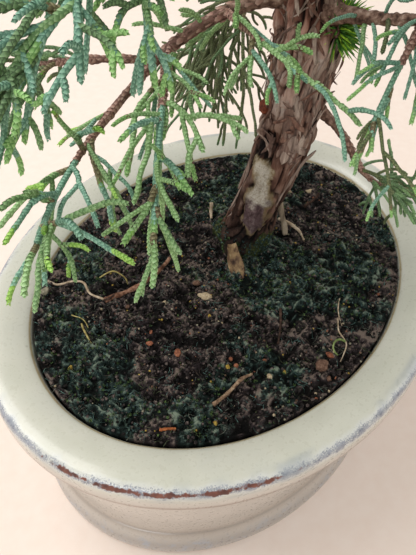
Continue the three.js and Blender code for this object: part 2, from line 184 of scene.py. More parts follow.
def layeredNoise(places, size, seed, layers=3):
    total, weight, whole = 0, 1.0, 0
    for layer in range(layers):
        total = total + softNoise(places, size / 2**layer, seed + layer) * weight
        whole, weight = whole + weight, weight * 0.55
    return total / whole


def smoothStep(low, high, value):
    share = np.clip((value - low) / (high - low), 0, 1)
    return share * share * (3 - 2 * share)


def between(value, starts, full, fades, ends):
    return smoothStep(starts, full, value) * smoothStep(ends, fades, value)


def mix(low, high, share):
    return low + (high - low) * share


def stack(*parts):
    return np.stack(np.broadcast_arrays(*parts), axis=-1).astype(float)


def turns(count):
    # Angles evenly round a ring, as one row
    return np.arange(count)[None, :] / count * 2 * math.pi


def gridFaces(rows, columns):
    # Quads between rows of points that each close into a ring
    row, column = np.meshgrid(np.arange(rows - 1), np.arange(columns), indexing="ij")
    after = (column + 1) % columns
    quads = np.stack([row * columns + column, row * columns + after,
                      (row + 1) * columns + after, (row + 1) * columns + column], axis=-1)
    return quads.reshape(-1, 4).tolist()


def turnedOver(faces):
    return [face[::-1] for face in faces]


def closedFaces(rows, columns):
    # The same, closed at both ends round two poles that come after the last row
    first, last = list(range(columns)), list(range((rows - 1) * columns, rows * columns))
    pole = rows * columns
    fans = [(b, a, pole) for a, b in zip(first, first[1:] + first[:1])]
    fans += [(a, b, pole + 1) for a, b in zip(last, last[1:] + last[:1])]
    return gridFaces(rows, columns) + fans


def flatEndedFaces(rows, columns):
    # The same, closed at both ends by one face
    first, last = range(columns), range((rows - 1) * columns, rows * columns)
    return gridFaces(rows, columns) + [tuple(first)[::-1], tuple(last)]


def withPoles(values):
    return {key: np.append(numbers.reshape(-1), [0, 0]) for key, numbers in values.items()}


def unit(vector):
    return vector / np.linalg.norm(vector, axis=-1, keepdims=True)


def tangentAt(points, index):
    return unit(points[min(index + 1, len(points) - 1)] - points[max(index - 1, 0)])


def framesAlong(points):
    across, sides, ups = np.array([1.0, 0, 0]), [], []
    for ring in range(len(points)):
        ahead = tangentAt(points, ring)
        if abs(ahead @ across) > 0.95:
            across = np.array([0.0, 1, 0])
        across = unit(across - ahead * (ahead @ across))
        sides.append(across)
        ups.append(np.cross(across, ahead))
    return np.array(sides), np.array(ups)


def tubeArrays(points, radii, sides, relief=None):
    # A closed tube along points, with a point at each end to close it
    points, angles = np.asarray(points, dtype=float), turns(sides)
    acrosses, ups = framesAlong(points)
    ring = acrosses[:, None] * np.cos(angles)[..., None] + ups[:, None] * np.sin(angles)[..., None]
    reach = np.broadcast_to(np.asarray(radii, dtype=float), len(points))[:, None]
    if relief is not None:
        reach = reach + relief(angles, np.arange(len(points))[:, None] / (len(points) - 1))
    body = (points[:, None] + ring * reach[..., None]).reshape(-1, 3)
    return np.concatenate([body, points[:1], points[-1:]]), turnedOver(closedFaces(len(points), sides))


def throughPoints(stations, count):
    # A centripetal curve through stations, at an even share of each span
    stations = np.asarray(stations, dtype=float)
    padded = np.concatenate([[2 * stations[0] - stations[1]], stations, [2 * stations[-1] - stations[-2]]])
    spans = np.linalg.norm(np.diff(padded, axis=0), axis=1) ** 0.5
    points = []
    for step in range(count + 1):
        place = step / count * (len(stations) - 1)
        lower = min(int(place), len(stations) - 2)
        t = place - lower
        before, a, b, after = padded[lower:lower + 4]
        first, middle, last = spans[lower:lower + 3]
        outOf = ((a - before) / first - (b - before) / (first + middle) + (b - a) / middle) * middle
        into = ((b - a) / middle - (after - a) / (middle + last) + (after - b) / last) * middle
        points.append(a + outOf * t + (3 * (b - a) - 2 * outOf - into) * t**2
                      + (2 * (a - b) + outOf + into) * t**3)
    return np.array(points)


def seeded(seed):
    # Repeatable random numbers from 0 to 1, the same as the solids' own
    whole = 0xFFFFFFFF
    state = seed * 2654435761 & whole

    def draw():
        nonlocal state
        state = (state + 0x6D2B79F5) & whole
        value = (state ^ state >> 15) * (1 | state) & whole
        value = ((value + ((value ^ value >> 7) * (61 | value) & whole)) ^ value) & whole
        return (value ^ value >> 14) / 4294967296

    return draw


# Shared tools for materials and node trees

def tint(code):
    parts = [int(code[i:i + 2], 16) / 255 for i in (0, 2, 4)]
    return tuple(p / 12.92 if p <= 0.04045 else ((p + 0.055) / 1.055) ** 2.4 for p in parts) + (1,)


def plain(value):
    return value.socket if isinstance(value, Value) else value


def put(tree, kind, inputs=None, **settings):
    node = tree.nodes.new(kind)
    for key, value in settings.items():
        setattr(node, key, value)
    for key, value in (inputs or {}).items():
        value = plain(value)
        if isinstance(value, bpy.types.NodeSocket):
            tree.links.new(value, node.inputs[key])
        else:
            node.inputs[key].default_value = value
    return node


def putOut(tree, kind, inputs=None, **settings):
    return put(tree, kind, inputs, **settings).outputs[0]


def maths(tree, operation, first, second=0.0):
    return Value(tree, putOut(tree, "ShaderNodeMath", {0: first, 1: second}, operation=operation))


class Value:
    # A number in a node tree that adds, subtracts and multiplies like an ordinary one
    def __init__(self, tree, socket):
        self.tree, self.socket = tree, socket

    def __add__(self, other):
        return maths(self.tree, "ADD", self, other)

    def __sub__(self, other):
        return maths(self.tree, "SUBTRACT", self, other)

    def __rsub__(self, other):
        return maths(self.tree, "SUBTRACT", other, self)

    def __mul__(self, other):
        return maths(self.tree, "MULTIPLY", self, other)

    def fade(self, low, high):
        # Smoothly from 0 at low to 1 at high
        return Value(self.tree, putOut(self.tree, "ShaderNodeMapRange", {
            "Value": self, "From Min": low, "From Max": high}, interpolation_type="SMOOTHSTEP"))


def noiseAt(tree, place, scale, detail=4, roughness=0.55):
    return Value(tree, put(tree, "ShaderNodeTexNoise", {
        "Vector": place, "Scale": scale, "Detail": detail, "Roughness": roughness}).outputs["Fac"])


class Finish:
    # A material whose colour is built up layer by layer
    def __init__(self, name, roughness, specular=0.5, coat=0, coatRoughness=0.03):
        self.material = bpy.data.materials.new(name)
        self.material.use_nodes = True
        self.tree = self.material.node_tree
        self.shader = self.tree.nodes["Principled BSDF"].inputs
        self.shader["Roughness"].default_value = roughness
        self.shader["Specular IOR Level"].default_value = specular
        self.shader["Coat Weight"].default_value = coat
        self.shader["Coat Roughness"].default_value = coatRoughness
        self.colour = None

    def place(self, stretch=(1, 1, 1)):
        onObject = put(self.tree, "ShaderNodeTexCoord").outputs["Object"]
        return putOut(self.tree, "ShaderNodeMapping", {"Vector": onObject, "Scale": stretch})

    def noise(self, scale, detail=4, roughness=0.55, stretch=(1, 1, 1)):
        return noiseAt(self.tree, self.place(stretch), scale, detail, roughness)

    def marked(self, name):
        # A number that the mesh carries at its points
        return Value(self.tree, put(self.tree, "ShaderNodeAttribute", attribute_name=name).outputs["Fac"])

    def ramp(self, factor, *stops):
        node = put(self.tree, "ShaderNodeValToRGB", {"Fac": factor})
        elements = node.color_ramp.elements
        while len(elements) < len(stops):
            elements.new(0.5)
        for element, (position, code) in zip(elements, stops):
            element.position, element.color = position, tint(code)
        return node.outputs["Color"]

    def mixed(self, share, under, over, kind="MIX"):
        over = tint(over) if isinstance(over, str) else over
        inputs = {0: share, 6: under, 7: over}
        return put(self.tree, "ShaderNodeMix", inputs, data_type="RGBA", blend_type=kind).outputs[2]

    def lay(self, share, over, kind="MIX"):
        # A colour code or a ramp over what is there
        self.colour = self.mixed(share, self.colour, over, kind)

    def feed(self, key, value):
        self.tree.links.new(plain(value), self.shader[key])

    def done(self, height, distance, strength):
        # Ends with the bump, its distance in metres
        self.feed("Base Color", self.colour)
        self.feed("Normal", putOut(self.tree, "ShaderNodeBump", {
            "Height": height, "Distance": distance, "Strength": strength}))
        return self.material


def simpleFinish(name, shades, scale, roughness, bump=0.0003, stretch=(1, 1, 1)):
    # A few shades in noise, from dark to light, with a matching bump
    finish, shades = Finish(name, roughness, 0.2), shades.split()
    grain = finish.noise(scale, 5, 0.6, stretch)
    stops = [(mix(0.28, 0.72, i / (len(shades) - 1)), shade) for i, shade in enumerate(shades)]
    finish.colour = finish.ramp(grain, *stops)
    return finish.done(grain, bump, 0.7)


def saved(tree, name, kind="FLOAT"):
    # A number that the points of a tree's mesh carry
    return Value(tree, putOut(tree, "GeometryNodeInputNamedAttribute", {"Name": name}, data_type=kind))


def stray(tree, low, high, seed):
    return Value(tree, put(tree, "FunctionNodeRandomValue", {2: low, 3: high, "Seed": seed},
                           data_type="FLOAT").outputs[1])


def onSpots(tree, spots, shape, turn, size):
    # A shape on each spot, turned about the spot's own axes
    facing = putOut(tree, "FunctionNodeRotateRotation", {
        "Rotation": spots.outputs["Rotation"], "Rotate By": turn}, rotation_space="LOCAL")
    thing = put(tree, "GeometryNodeObjectInfo", {"Object": shape, "As Instance": True}).outputs["Geometry"]
    return putOut(tree, "GeometryNodeInstanceOnPoints", {
        "Points": spots.outputs["Points"], "Instance": thing, "Rotation": facing, "Scale": size})


def dealFinishes(tree, shape, key, finishes):
    # Each face takes the finish whose number it carries
    number = saved(tree, key, "INT")
    for place, finish in enumerate(finishes):
        same = putOut(tree, "FunctionNodeCompare", {2: number, 3: place}, data_type="INT", operation="EQUAL")
        shape = putOut(tree, "GeometryNodeSetMaterial", {
            "Geometry": shape, "Selection": same, "Material": finish})
    return shape


def newTree(name, inputs):
    tree = bpy.data.node_groups.new(name, "GeometryNodeTree")
    tree.interface.new_socket("Geometry", in_out="INPUT", socket_type="NodeSocketGeometry")
    for label, kind, value in inputs:
        socket = tree.interface.new_socket(label, in_out="INPUT", socket_type=kind)
        if value is not None:
            socket.default_value = value
    tree.interface.new_socket("Geometry", in_out="OUTPUT", socket_type="NodeSocketGeometry")
    return tree, put(tree, "NodeGroupInput").outputs


def endTree(tree, geometry):
    tree.links.new(geometry, put(tree, "NodeGroupOutput").inputs[0])


def grownMesh(name, host, tree, settings):
    # Runs a node tree on a mesh and keeps the result as a plain mesh
    holder = bpy.data.objects.new(name, host)
    bpy.context.collection.objects.link(holder)
    modifier = holder.modifiers.new(name, "NODES")
    modifier.node_group = tree
    for item in tree.interface.items_tree:
        if item.in_out == "INPUT" and item.name in settings:
            modifier[item.identifier] = settings[item.name]
    graph = bpy.context.evaluated_depsgraph_get()
    mesh = bpy.data.meshes.new_from_object(holder.evaluated_get(graph))
    holder.modifiers.remove(modifier)
    bpy.data.objects.remove(holder)
    mesh.name = name
    return mesh


def shapeObject(name, points, faces, smooth=True, values=None):
    # A small shape that a node tree repeats
    mesh = makeMesh(name, np.asarray(points) / mm, faces, [], smooth, values)
    shape = bpy.data.objects.new(name, mesh)
    bpy.context.collection.objects.link(shape)
    return shape


print("floor")

floorSize = 16.0


def makeFloor():
    finish = Finish("paleFloor", 0.9)
    finish.feed("Base Color", finish.ramp(finish.noise(220, 3), (0.3, "ecdcd0"), (0.7, "efe1d6")))
    half = floorSize / 2 / mm
    corners = [(-half, -half, 0), (half, -half, 0), (half, half, 0), (-half, half, 0)]
    mesh = makeMesh("paleFloor", corners, [(0, 1, 2, 3)], [finish.material])
    floor = bpy.data.objects.new("paleFloor", mesh)
    bpy.context.collection.objects.link(floor)


makeFloor()

print("pot")

pot = {
    "halfLength": 63.1, "halfWidth": 48.6, "top": 58,
    "rimReach": 11.9, "rimCrown": 2.6, "rimDepth": 6.4, "rimRound": 1.2, "rimEdge": 0.3, "rimRecess": 0.7,
    "outsideTop": 6.4, "belly": 4.4, "bellyHeight": 28, "outsideFoot": 2.8,
    "neck": -0.7, "neckDrop": 2, "waist": -1.2, "waistDrop": 10, "foot": -3, "cove": 3, "floor": 7,
    "bandReach": 5, "bandHeight": 11, "bandChamfer": 1, "bandShoulder": 0.6,
    "columns": 300, "rowsPerSpan": 6,
    "wobble": 0.12, "orangePeel": 0.006, "bead": 0.16,
    "rustTurn": 3.62, "rustSpread": 0.62,  # where round the rim the clay shows through most
}


def ovalPlace(reach, angle):
    # A place a given reach outside the mouth's edge
    out = pot["halfWidth"] + reach
    stretch = (pot["halfLength"] - pot["halfWidth"]) * np.minimum(out / pot["halfWidth"], 1)
    return (out + stretch) * np.cos(angle), out * np.sin(angle)


def potSection():
    p = pot
    top, underRim, axis = p["top"], p["top"] - p["rimDepth"], -p["halfWidth"]
    reach, curve, crown = p["rimReach"], p["rimRound"], p["rimCrown"]
    outside, foot = p["outsideTop"], p["outsideFoot"]
    corners = [
        (axis, 0), (p["bandReach"] - p["bandChamfer"], 0), (p["bandReach"], p["bandChamfer"]),
        (p["bandReach"], p["bandHeight"] / 2),
        (foot + p["bandShoulder"], p["bandHeight"] - p["bandShoulder"]),
        (foot, p["bandHeight"]), (p["belly"], p["bellyHeight"]),
        (outside, underRim - 2 * curve), (outside + p["rimRecess"], underRim - p["rimRecess"]),
        (reach - curve, underRim), (reach - p["rimEdge"], underRim + p["rimEdge"] * 2),
        (reach, underRim + p["rimDepth"] * 0.6), (reach - curve * 0.3, top + crown * 0.55),
        (reach - curve * 1.3, top + crown * 0.95), (reach * 0.55, top + crown),
        (reach * 0.22, top + crown * 0.6),
        (0, top), (p["neck"], top - p["neckDrop"]), (p["waist"], top - p["waistDrop"]),
        (p["foot"], p["floor"] + p["cove"]), (p["foot"] - p["cove"], p["floor"]), (axis, p["floor"]),
    ]
    flat = [(x, z, 0) for x, z in corners]
    section = throughPoints(flat, (len(corners) - 1) * p["rowsPerSpan"])[:, :2]
    return stack(section[:, 0], np.maximum(section[:, 1], 0))


def nearTo(reach, z, place, size):
    return np.exp(-((reach - place[0]) ** 2 + (z - place[1]) ** 2) / size**2)


def makePotMesh(materials):
    p = pot
    section = potSection()[1:-1]  # the two ends are the poles
    reach, z = section[:, :1], section[:, 1:]
    angle = turns(p["columns"])
    cornerReach, cornerHeight = p["rimReach"] - p["rimRound"] * 0.45, p["top"] + p["rimCrown"] * 0.62
    edge = nearTo(reach, z, (cornerReach, cornerHeight), 2.6)
    x, y = ovalPlace(reach, angle)
    places = stack(x, y, z)
    onGlaze = smoothStep(-1.5, 0, reach) * smoothStep(4, 9, z)
    push = p["wobble"] * softNoise(places, 26, 3) + p["orangePeel"] * softNoise(places, 1.1, 4)
    push = push + p["bead"] * edge * (0.4 + layeredNoise(places, 2.6, 5)) + 0.05 * softNoise(places, 5, 6)
    push = push * onGlaze
    x, y = ovalPlace(reach + push, angle)
    lift = 0.35 * p["wobble"] * softNoise(places, 34, 8) * smoothStep(p["top"] - 8, p["top"], z) * onGlaze
    points = stack(x, y, z + lift).reshape(-1, 3)
    poles = [(0, 0, 0), (0, 0, p["floor"])]
    # Where the finish changes: the outer corner, the mouth, the outside, creases with painted shade, the foot
    # band with painted contact shade, and rust
    underRim = p["top"] - p["rimDepth"]
    # Painted shade in the recess under the rim
    belowRimShade = nearTo(reach, z, (p["outsideTop"] + p["rimRecess"], underRim - 0.4), 0.9)
    rimLine = nearTo(reach, z, (p["rimReach"] - p["rimEdge"], underRim + 1.6), 0.65)
    # Painted shade in the groove above the foot band
    aboveBandShade = nearTo(reach, z, (p["outsideFoot"] + 0.3, p["bandHeight"]), 1.6)
    outer = smoothStep(cornerHeight - 0.6, cornerHeight - 5.2, z) * smoothStep(2.5, 4.5, reach + (z < 30) * 3)
    turnAway = np.abs((angle - p["rustTurn"] + math.pi) % (2 * math.pi) - math.pi)
    rusty = 1 - smoothStep(p["rustSpread"] * 0.4, p["rustSpread"] * 1.5, turnAway)
    whole = np.ones_like(reach * angle)
    values = {
        "edge": edge * whole, "lip": nearTo(reach, z, (0.1, p["top"] - 0.1), 0.55) * whole,
        "outer": outer * whole,
        # The brown line under the rim, with painted shade in the creases
        "rimLineAndCreaseShade": (belowRimShade + 1.5 * rimLine + 0.5 * aboveBandShade) * whole,
        # Painted contact shade and speckle on the foot band
        "footBandShadeAndSpeckle": nearTo(reach, z, (p["bandReach"], p["bandHeight"] * 0.45), 3.2) * whole,
        "rusty": rusty * whole,
    }
    faces = closedFaces(len(section), p["columns"])
    return makeMesh("glazedPot", np.concatenate([points, poles]), faces, materials, True, withPoles(values))


def makeGlaze():
    glaze = Finish("creamGlaze", 0.3, coat=0.35, coatRoughness=0.12)
    broad, fine, speck = glaze.noise(55, 3), glaze.noise(900, 3), glaze.noise(3000, 2)
    outer, edge, bandShadeAndSpeckle = glaze.marked("outer"), glaze.marked("edge"), glaze.marked("footBandShadeAndSpeckle")
    glaze.colour = glaze.ramp(broad, (0.3, "bfc0b2"), (0.55, "cacabd"), (0.75, "c5c6bb"))
    glaze.lay(outer, glaze.ramp(broad, (0.3, "b9b1a7"), (0.6, "c2bab0"), (0.8, "bbb3aa")))
    glaze.lay(0.2, glaze.ramp(fine, (0.3, "f4efe4"), (0.5, "ffffff"), (0.7, "f0ebe1")), "MULTIPLY")
    # The glaze thins at the outer corner: whitish, then lavender speckle, then bare rusty clay
    ragged = edge + (glaze.noise(260, 5) - 0.5) * 0.9
    glaze.lay(ragged.fade(0.42, 0.85) * 0.6, "d2d4d2")
    dots = (ragged + (speck - 0.5)).fade(0.76, 1.0)
    glaze.lay(dots * 0.85, glaze.ramp(fine, (0.35, "62687a"), (0.6, "9094a0")))
    grey = glaze.noise(75, 3, stretch=(1, 1, 2.5)).fade(0.48, 0.66) * edge.fade(0.12, 0.5)
    glaze.lay(grey * 0.5, "959da2")
    streaks = (glaze.noise(190) - 0.5) * 0.36
    clay = edge + streaks + (glaze.marked("rusty") - 1.0) * 0.35
    clay = (clay + (fine - 0.5) * 0.3).fade(0.92, 0.98)
    glaze.lay(clay, glaze.ramp(glaze.noise(500), (0.35, "512a22"), (0.65, "7d4838")))
    # Yellow-brown line at the mouth, brown line under the rim with painted shade in the creases, painted contact
    # shade and greyish speckle on the foot band
    lip = (glaze.marked("lip") * (glaze.noise(120, 3) + 0.4)).fade(0.35, 0.75)
    glaze.lay(lip * 0.75, "a08a58")
    # Painted shade in the creases, over the brown line under the rim
    glaze.lay(glaze.marked("rimLineAndCreaseShade") * 0.7, "735640")
    # Painted contact shade on the foot band; the next layer is its speckle
    glaze.lay(bandShadeAndSpeckle * 0.7, "8f8a86")
    glaze.lay(bandShadeAndSpeckle * glaze.noise(330, 5, 0.7).fade(0.48, 0.66) * 0.8, "9ba3b0")
    smudge = glaze.noise(60, 2, 0.5, (1, 1, 3)).fade(0.58, 0.8) * outer
    glaze.lay(smudge * 0.45, "a2a09c")
    # Pinholes and specks of dirt
    cells = put(glaze.tree, "ShaderNodeTexVoronoi", {"Vector": glaze.place(), "Scale": 230.0})
    cellColour = put(glaze.tree, "ShaderNodeSeparateColor", {"Color": cells.outputs["Color"]})
    chosen = maths(glaze.tree, "GREATER_THAN", cellColour.outputs[0], 0.93)
    pores = Value(glaze.tree, cells.outputs["Distance"]).fade(0.16, 0.06) * chosen * (1.0 - outer * 0.85)
    glaze.lay(pores * 0.45, "5d4c3d")
    glaze.feed("Roughness", clay * 0.4 + (fine * 0.06 + 0.25))
    return glaze.done(fine * 0.03 + broad - (pores + clay * 0.6), 0.0001, 0.5)


makePiece("glazedPot", makePotMesh([makeGlaze()]), ["pot"])

print("soil")

soil = {
    "edgeDrop": 0.8, "rise": 1.6, "level": 59, "levelRadius": 12.5, "levelFade": 8, "bump": 0.45,
    "alongX": 0.21, "alongY": 0.27, "shift": 1, "smallX": 0.11, "smallY": 0.35, "smallShare": 0.5,
    "footX": 13.6, "footY": 3.0, "gap": 0.3,
    "rings": 190, "columns": 490, "skirt": 7,
    "mossRise": 1.9, "crumb": 1.25, "fibre": 0.75,
}
mossPlaces = [  # x, y, radius, weight
    (-26, 36, 13, 0.7), (-47, 4, 12, 0.75), (-44, -20, 10, 0.5), (4, -31, 16, 0.75), (24, -28, 14, 0.6),
    (-3, -12, 9, 0.6), (-30, 22, 8, 0.3), (-24, -36, 10, 0.45), (38, 10, 14, 0.5), (12, 28, 14, 0.4),
    (-24, -6, 9, -0.7), (-8, -26, 8, -0.3), (-18, 8, 8, -0.6), (44, -14, 9, -0.5), (30, -6, 7, -0.5),
]


def soilBase(x, y):
    s = soil
    share = np.minimum(np.hypot(x / pot["halfLength"], y / pot["halfWidth"]), 1)
    mound = pot["top"] - s["edgeDrop"] + s["rise"] * (1 - share**4)
    small = s["smallShare"] * np.sin(x * s["smallX"] - y * s["smallY"])
    wave = np.sin(x * s["alongX"] + s["shift"]) * np.cos(y * s["alongY"]) + small
    away = np.hypot(x - s["footX"], y - s["footY"])
    level = 1 - smoothStep(s["levelRadius"], s["levelRadius"] + s["levelFade"], away)
    return mix(mound + s["bump"] * wave * (1 - share**6), s["level"], level), share


def mossShare(x, y):
    places = stack(x, y, 0)
    share = layeredNoise(places, 11, 21, 3) * 0.9
    for atX, atY, radius, weight in mossPlaces:
        share = share + weight * np.exp(-((x - atX) ** 2 + (y - atY) ** 2) / radius**2)
    return smoothStep(-0.05, 0.45, share)


def soilTop(x, y):
    # Height of the soil with its mounds of moss, crumbs and fibres
    s = soil
    base, share = soilBase(x, y)
    moss = mossShare(x, y)
    places = stack(x, y, 0)
    inner = 1 - smoothStep(0.95, 1.0, share)
    crumbs = layeredNoise(places, 2.4, 31, 4) * s["crumb"] * (1.2 - 0.45 * moss)
    strands = (1 - np.abs(softNoise(places, 1.5, 41))) ** 3 * s["fibre"]
    cushions = np.sqrt(np.abs(layeredNoise(places, 4.6, 51, 2)) * 1.6)  # round tops with creases between
    rough = crumbs + strands + moss * s["mossRise"] * (cushions - 0.35) - 0.35
    edge = 0.9 * smoothStep(0.88, 0.99, share)
    return base + rough * inner + edge, moss, crumbs + moss * (cushions - 0.6) * 0.8 + (strands - 0.2) * 1.3


def makeSoilMesh(materials):
    s = soil
    across = pot["halfWidth"] + pot["neck"] - s["gap"]
    reach = -pot["halfWidth"] + across * np.linspace(0, 1, s["rings"] + 1)[1:, None]
    angle = turns(s["columns"])
    x, y = ovalPlace(reach, angle)
    z, moss, crumbs = soilTop(x, y)
    # One more ring below the edge, inside the pot's wall
    skirtX, skirtY = ovalPlace(np.full((1, 1), pot["waist"] - s["gap"]), angle)
    skirt = np.zeros_like(skirtX)
    under = pot["top"] - s["skirt"]
    rows = (x, skirtX), (y, skirtY), (z, skirt + under)
    points = stack(*(np.concatenate(pair) for pair in rows))
    centreTop = soilTop(np.array([0.0]), np.array([0.0]))[0][0]
    poles = [(0, 0, centreTop), (0, 0, under)]
    # The attribute low makes the soil darker in its hollows: painted shade
    values = withPoles({"moss": np.concatenate([moss, skirt]), "low": np.concatenate([-crumbs, skirt])})
    faces = turnedOver(closedFaces(len(points), s["columns"]))
    points = np.concatenate([points.reshape(-1, 3), poles])
    return makeMesh("soilSurface", points, faces, materials, True, values)


def makeEarth():
    earth = Finish("darkSoil", 0.82, 0.1)
    coarse, fine = earth.noise(420, 5, 0.7), earth.noise(2200, 3, 0.6)
    # Painted shade: darker where the relief is low
    grain = coarse * 0.62 + fine * 0.38 - earth.marked("low") * 0.34
    earth.colour = earth.ramp(grain, (0.3, "050404"), (0.45, "120e0c"), (0.56, "262022"), (0.66, "423937"),
                              (0.78, "6e6159"))
    green = earth.ramp(grain, (0.3, "050706"), (0.45, "0e1815"), (0.56, "202c29"), (0.67, "44534c"),
                       (0.79, "748070"))
    earth.lay((earth.marked("moss") + (fine - 0.5) * 0.7).fade(0.3, 0.75), green)
    earth.feed("Roughness", fine * 0.45 + 0.5)
    return earth.done(coarse + fine * 0.5, 0.0008, 0.9)


makePiece("soilSurface", makeSoilMesh([makeEarth()]), ["soil"])

print("trunk")

trunk = {
    # x, y, z and radius up the trunk
    "stations": [
        (13.6, 3.0, 59.3, 8.8), (14.0, 2.1, 64, 7.2), (14.4, 1.0, 71, 6.5), (17.0, -2.4, 89, 6.7),
        (18.2, -4.2, 106, 6.7), (18.6, -4.8, 120, 7.3), (18.2, -4.2, 131, 7.1), (15.0, -1.8, 145, 5.0),
        (9.6, 1.0, 163, 3.8), (5.8, 2.2, 180, 2.8), (4.8, 2.0, 197, 1.4),
    ],
    "coarseRings": 26, "rings": 620, "sides": 150,
    "ridges": 5, "ridgeDepth": 0.07, "twist": 1.4, "tipShare": 0.4,
    "flareLobes": 3, "flareDepth": 0.12, "flareReach": 0.11, "flareTurn": 0.8,
    "strips": 13, "stripTwist": 0.5, "stripLength": 17, "stripStep": 0.4, "groove": 1.15,
    "fibre": 0.42, "fibreSize": 0.9, "fibreStretch": 9, "lump": 0.5, "footSunk": 0.6,
    # Heights in mm: the knobby part and its reach, where the bark stands out and is painted lighter as if lit,
    # and where it is flaky or fresh; footFades is where the foot's flattening and painted shade fade out
    "knobbyAt": 98, "knobbyReach": 7.5, "proud": (101, 110, 126, 134), "flaky": (118, 126, 132, 142),
    "fresh": (118, 130, 140, 170), "footFades": (59.5, 67.5), "mossFades": (61, 69),
}
# Hollows and swellings on the trunk: place, radius, how far out (in where it is below 0)
trunkMarks = [
    ((11.7, -0.7, 94.5), 2.6, -1.5), ((10.3, -3.4, 99), 1.6, -0.8), ((12.4, -7.5, 101), 1.5, -0.9),
    ((11.0, 2.2, 100), 3.0, 0.8), ((14.5, -9.2, 98), 2.6, 0.9), ((12.0, -3.0, 104), 4.0, 0.45),
    ((15.8, -12.5, 117.4), 2.8, 1.1), ((11.0, -1.2, 126), 2.2, -1.4), ((13.4, -10.9, 123), 2.6, 0.6),
    ((9.0, -1.0, 64.5), 2.6, -0.8), ((17.5, -6.4, 72), 2.5, -1.0), ((8.6, 3.2, 86), 1.8, -0.9),
    ((11.5, 1.5, 112), 1.5, -0.6), ((15.0, -9.5, 109), 1.4, -0.5),
]
# A long patch of bare grey wood, with its half widths low and high
bareWood = {"low": (8.9, -2.6, 70.5), "high": (11.0, -1.9, 88.5), "half": (3.6, 2.3)}
surfaceRoot = {"place": (5.4, 1.6, 62.3), "size": 4.4, "reach": 4.8}
darkStrip = {"low": (6.9, 3.4, 66), "high": (10.6, 4.8, 96), "half": 1.3}

usualRadius = 6.7  # of the trunk's middle part

coarseLine = throughPoints([row[:3] for row in trunk["stations"]], trunk["coarseRings"])
coarseLine[1, :2] = coarseLine[0, :2]
fineLine = throughPoints([row[:3] for row in trunk["stations"]], trunk["rings"])
fineSides, fineUps = framesAlong(fineLine)
trunkShares = np.linspace(0, 1, trunk["rings"] + 1)
trunkLength = np.linalg.norm(np.diff(fineLine, axis=0), axis=1).sum()


def trunkRadius(along):
    radii = [row[3] for row in trunk["stations"]]
    return np.interp(along, np.linspace(0, 1, len(radii)), radii)


def trunkRidge(angle, along):
    t = trunk
    depth = t["ridgeDepth"] * mix(1, t["tipShare"], along)
    flare = t["flareDepth"] * np.maximum(0, 1 - along / t["flareReach"])
    return (depth * np.sin(t["ridges"] * angle + t["twist"] * along * math.pi * 2)
            + flare * np.sin(t["flareLobes"] * angle + t["flareTurn"]))


def alongTrunk(rows, along):
    return stack(*(np.interp(along, trunkShares, rows[:, axis]) for axis in range(3)))


def segmentShare(places, low, high):
    # How far along a segment the nearest point is, and how far off it lies
    low, high = np.array(low), np.array(high)
    line = high - low
    share = np.clip((places - low) @ line / (line @ line), 0, 1)
    return share, np.linalg.norm(places - low - share[..., None] * line, axis=-1)


def stripRelief(angle, along, long, turned):
    # The bark's long strips and the grooves between them, and each strip's own tone
    t = trunk
    warp = 0.055 * softNoise(turned, 2.4, 5) + 0.02 * softNoise(turned, 0.9, 6)
    strip = (angle / (2 * math.pi) + t["stripTwist"] * along + warp) * t["strips"]
    cell = np.floor(strip)
    part, own = strip - cell, np.mod(cell, t["strips"])
    run = long / t["stripLength"] + cellValue(stack(own, 1, 2).astype(np.int64), 9) * 3
    step = cellValue(stack(own, np.floor(run), 3).astype(np.int64), 11)
    runPart = run - np.floor(run)
    broken = smoothStep(0, 0.06, runPart) * (0.65 + 0.35 * smoothStep(1, 0.6, runPart))
    groove = np.exp(-(np.minimum(part, 1 - part) / 0.11) ** 2)
    return t["stripStep"] * step * broken - t["groove"] * groove, step


def fibreRelief(angle, long):
    t = trunk
    x, y = np.cos(angle) * usualRadius, np.sin(angle) * usualRadius
    coarse = softNoise(stack(x, y, long / t["fibreStretch"]), t["fibreSize"], 13)
    return coarse + 0.5 * softNoise(stack(x, y, long / 6), t["fibreSize"] / 2.2, 14)


